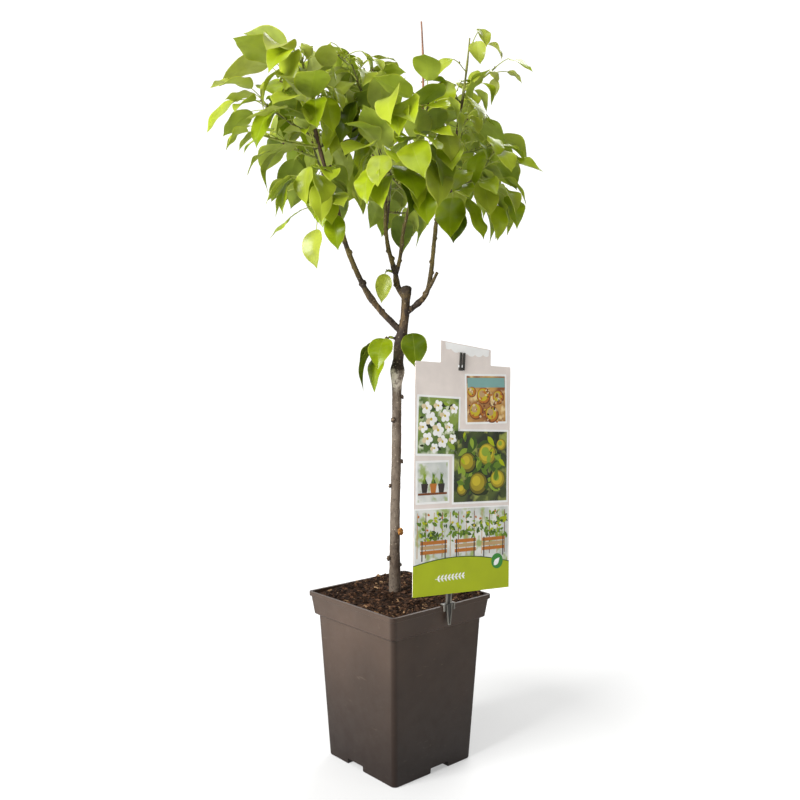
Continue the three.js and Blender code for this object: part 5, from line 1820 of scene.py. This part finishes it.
def addShaft(shape):
    # the stem behind the card: a web between two rails, the prongs through the slot and their bridge
    width, depth, thin = clip["width"], clip["depth"], clip["prongDepth"]
    back = clearance + depth / 2
    front = -label["thickness"] - clearance - thin / 2
    shaft = slotFoot + label["slotHeight"] - clip["shaftEnd"]
    roundedBox(shape, (*clip["web"], shaft), (0, back, shaft / 2), edge=0.2)
    prongHeight = clip["prongLength"] + clip["prongFoot"]
    prongMiddle = slotFoot + clip["prongLength"] / 2 + clip["prongFoot"] / 2
    for side in (-1, 1):
        rail = side * (width / 2 - clip["rail"] / 2)
        roundedBox(shape, (clip["rail"], depth, shaft), (rail, back, shaft / 2), edgeSlot)
        prong = side * (width - clip["prongWidth"] + clip["prongSpread"]) / 2
        roundedBox(shape, (clip["prongWidth"], thin, prongHeight), (prong, front, prongMiddle), edge=0.6)
    bridgeWidth, bridgeHeight = clip["bridge"]
    rear, face = back + depth / 2, front - thin / 2
    roundedBox(shape, (bridgeWidth, back + depth / 2 - front + thin / 2, bridgeHeight),
               (0, (rear + face) / 2, slotFoot + bridgeHeight / 2), edge=0.5)


def addSaddle(shape):
    # the clip over the rim with a hook at each side and a rimmed blade in front of the collar
    outside = -pot["rimHalf"] - clearance - clip["outsideGap"]
    inside = -pot["collarHalf"][1] + pot["wall"] + clearance + clip["insideGap"]
    middle, depth = (inside + outside) / 2, inside - outside
    top, x = pot["height"] + clearance, label["place"][0]
    plateWidth, plateThick = clip["plate"]
    roundedBox(shape, (plateWidth, depth + clip["plateOver"], plateThick),
               (x, middle, top + plateThick / 2), edge=0.7)
    roundedBox(shape, (clip["width"], *clip["tongue"]), (x, inside, top - clip["tongueDown"]), edge=0.6)
    armWidth, armThick = clip["arm"]
    hookMiddle = top + clip["hookUp"] - clip["hook"][2] / 2
    for side in (-1, 1):
        arm = x + side * clip["armOut"]
        roundedBox(shape, clip["hook"], (arm, outside, hookMiddle), edgeSlot, 0.8)
        roundedBox(shape, (armWidth, depth, armThick), (arm, middle, top + clip["armUp"]), edgeSlot, 0.5)
    wide, thin, high = clip["bladeTop"] / 2, clip["bladeTip"] / 2, top + clip["bladeUp"]
    foot = high - clip["bladeLength"]
    blade = [(-wide, high), (-thin, foot), (thin, foot), (wide, high)]
    rims = [[(side * wide, high), (side * thin, foot), (side * (thin - clip["rimTip"]), foot),
             (side * (wide - clip["rimTop"]), high)] for side in (-1, 1)]
    low = foot + clip["rimFoot"]
    footRim = [(-thin, low), (-thin, foot), (thin, foot), (thin, low)]
    plates = [(blade, "bladeFaces", 0), *[(rim, "rimFaces", edgeSlot) for rim in rims],
              (footRim, "footFaces", edgeSlot)]
    for outline, faces, slot in plates:
        front, back = [outside + value for value in clip[faces]]
        addPlate(shape, [(x + across, z) for across, z in outline], front, back, slot)
    bmesh.ops.recalc_face_normals(shape, faces=shape.faces)


def clipMaterial(name):
    return cloudedMaterial("clip_" + name, *clip[name], gloss=(0.42, 0.45), cloud=(60, 4),
                           spread=(0.35, 0.65), grain=(700, 3), relief=(0.0003, 0.5))


def dressClip():
    lean = Matrix.Rotation(math.radians(clip["stemTilt"]), 4, "Y")
    whole = bmesh.new()
    for add, turn in ((addShaft, labelPlace @ lean), (addSaddle, planterTurn)):
        shape, mesh = bmesh.new(), bpy.data.meshes.new("part")
        add(shape)
        bmesh.ops.transform(shape, matrix=turn, verts=shape.verts)
        shape.to_mesh(mesh)
        shape.free()
        whole.from_mesh(mesh)
        bpy.data.meshes.remove(mesh)
    piece = objectFrom("label_stem", whole, [clipMaterial("dark"), clipMaterial("edge")])
    shadeSmooth(piece, clip["sharp"])
    finishPiece(piece, "clip", "label_clip")


print("dressing the label")
dressCard()
dressPrint()
dressClip()


# Floor, light and camera

studio = {
    "ambient": (0.1, 0.95), "ambientOver": (0.1, 0.95), "seen": 1.15,
    "floorHalf": 9000, "floorTone": (180, 180, 179),
    "glow": (0.35, 2.2, 0.38, 1.2), "flag": (0.5, -0.5, 0.25, 1.25),
    # area lights: place, aim, size and power
    "lights": {
        "key": ((-2.0, -1.7, 1.75), (0, 0, 0.5), (1.3, 1.3), 140),
        "top": ((-0.3, -0.5, 2.6), (0, 0, 0.6), (1.6, 1.6), 26),
        "back": ((0.7, 1.9, 2.2), (0, 0, 0.75), (1.6, 1.2), 40),
        "side": ((2.1, -0.9, 0.9), (0, 0, 0.25), (0.5, 1.8), 5),
    },
    "lens": 40.63, "sensor": 36, "seenFrom": 0.05, "seenTo": 40, "camera": (0.00108, -1.3112, 0.5974),
    "lookDown": 3.024,
}
plainWhite = (1, 1, 1, 1)


def makeFloor():
    # a pale floor that turns to plain white away from the object and lights it less from its right
    shape = bmesh.new()
    bmesh.ops.create_grid(shape, x_segments=1, y_segments=1, size=studio["floorHalf"])
    nodes = Finish("floor_white", 0.7, 0.1)
    glow = nodes.band(nodes.vector("LENGTH", nodes.place((1, 1, 0))), *studio["glow"])
    flag = nodes.band(nodes.along("X"), *studio["flag"])
    seen = nodes.add("ShaderNodeLightPath").outputs["Is Camera Ray"]
    share = nodes.math("ADD", seen, nodes.times(flag, nodes.math("SUBTRACT", 1, seen)))
    nodes.link(plainWhite, nodes.shader.inputs["Emission Color"])
    nodes.link(nodes.times(glow, share), nodes.shader.inputs["Emission Strength"])
    objectFrom("floor", shape, [nodes.done(linear(studio["floorTone"]))])


def makeWorld():
    # light from all round that is weaker from the front, and a plain white behind the object
    world = bpy.data.worlds.new("studio")
    nodes = Nodes(world)
    direction = nodes.add("ShaderNodeTexCoord").outputs["Generated"]
    strength = nodes.band(nodes.along("Y", direction), *studio["ambientOver"], *studio["ambient"])
    light, seen = [
        nodes.add("ShaderNodeBackground", {"Color": plainWhite, "Strength": value}).outputs["Background"]
        for value in (strength, studio["seen"])]
    ray = nodes.add("ShaderNodeLightPath").outputs["Is Camera Ray"]
    nodes.link(nodes.mixShader(ray, light, seen), nodes.tree.nodes["World Output"].inputs["Surface"])
    scene.world = world


def makeLights():
    for name, (place, aim, size, power) in studio["lights"].items():
        lamp = bpy.data.lights.new(name, "AREA")
        lamp.shape = "RECTANGLE"
        lamp.size, lamp.size_y = size
        lamp.energy = power
        light = newObject(name, lamp)
        light.location = place
        light.rotation_euler = (Vector(aim) - Vector(place)).to_track_quat("-Z", "Y").to_euler()


def makeCamera():
    lens = bpy.data.cameras.new("camera")
    lens.lens, lens.sensor_width = studio["lens"], studio["sensor"]
    lens.clip_start, lens.clip_end = studio["seenFrom"], studio["seenTo"]
    camera = newObject("camera", lens)
    camera.location = studio["camera"]
    camera.rotation_euler = (math.radians(90 - studio["lookDown"]), 0, 0)
    scene.camera = camera


makeFloor()
makeWorld()
makeLights()
makeCamera()
scene.view_settings.view_transform = "Standard"
scene.view_settings.look = "None"
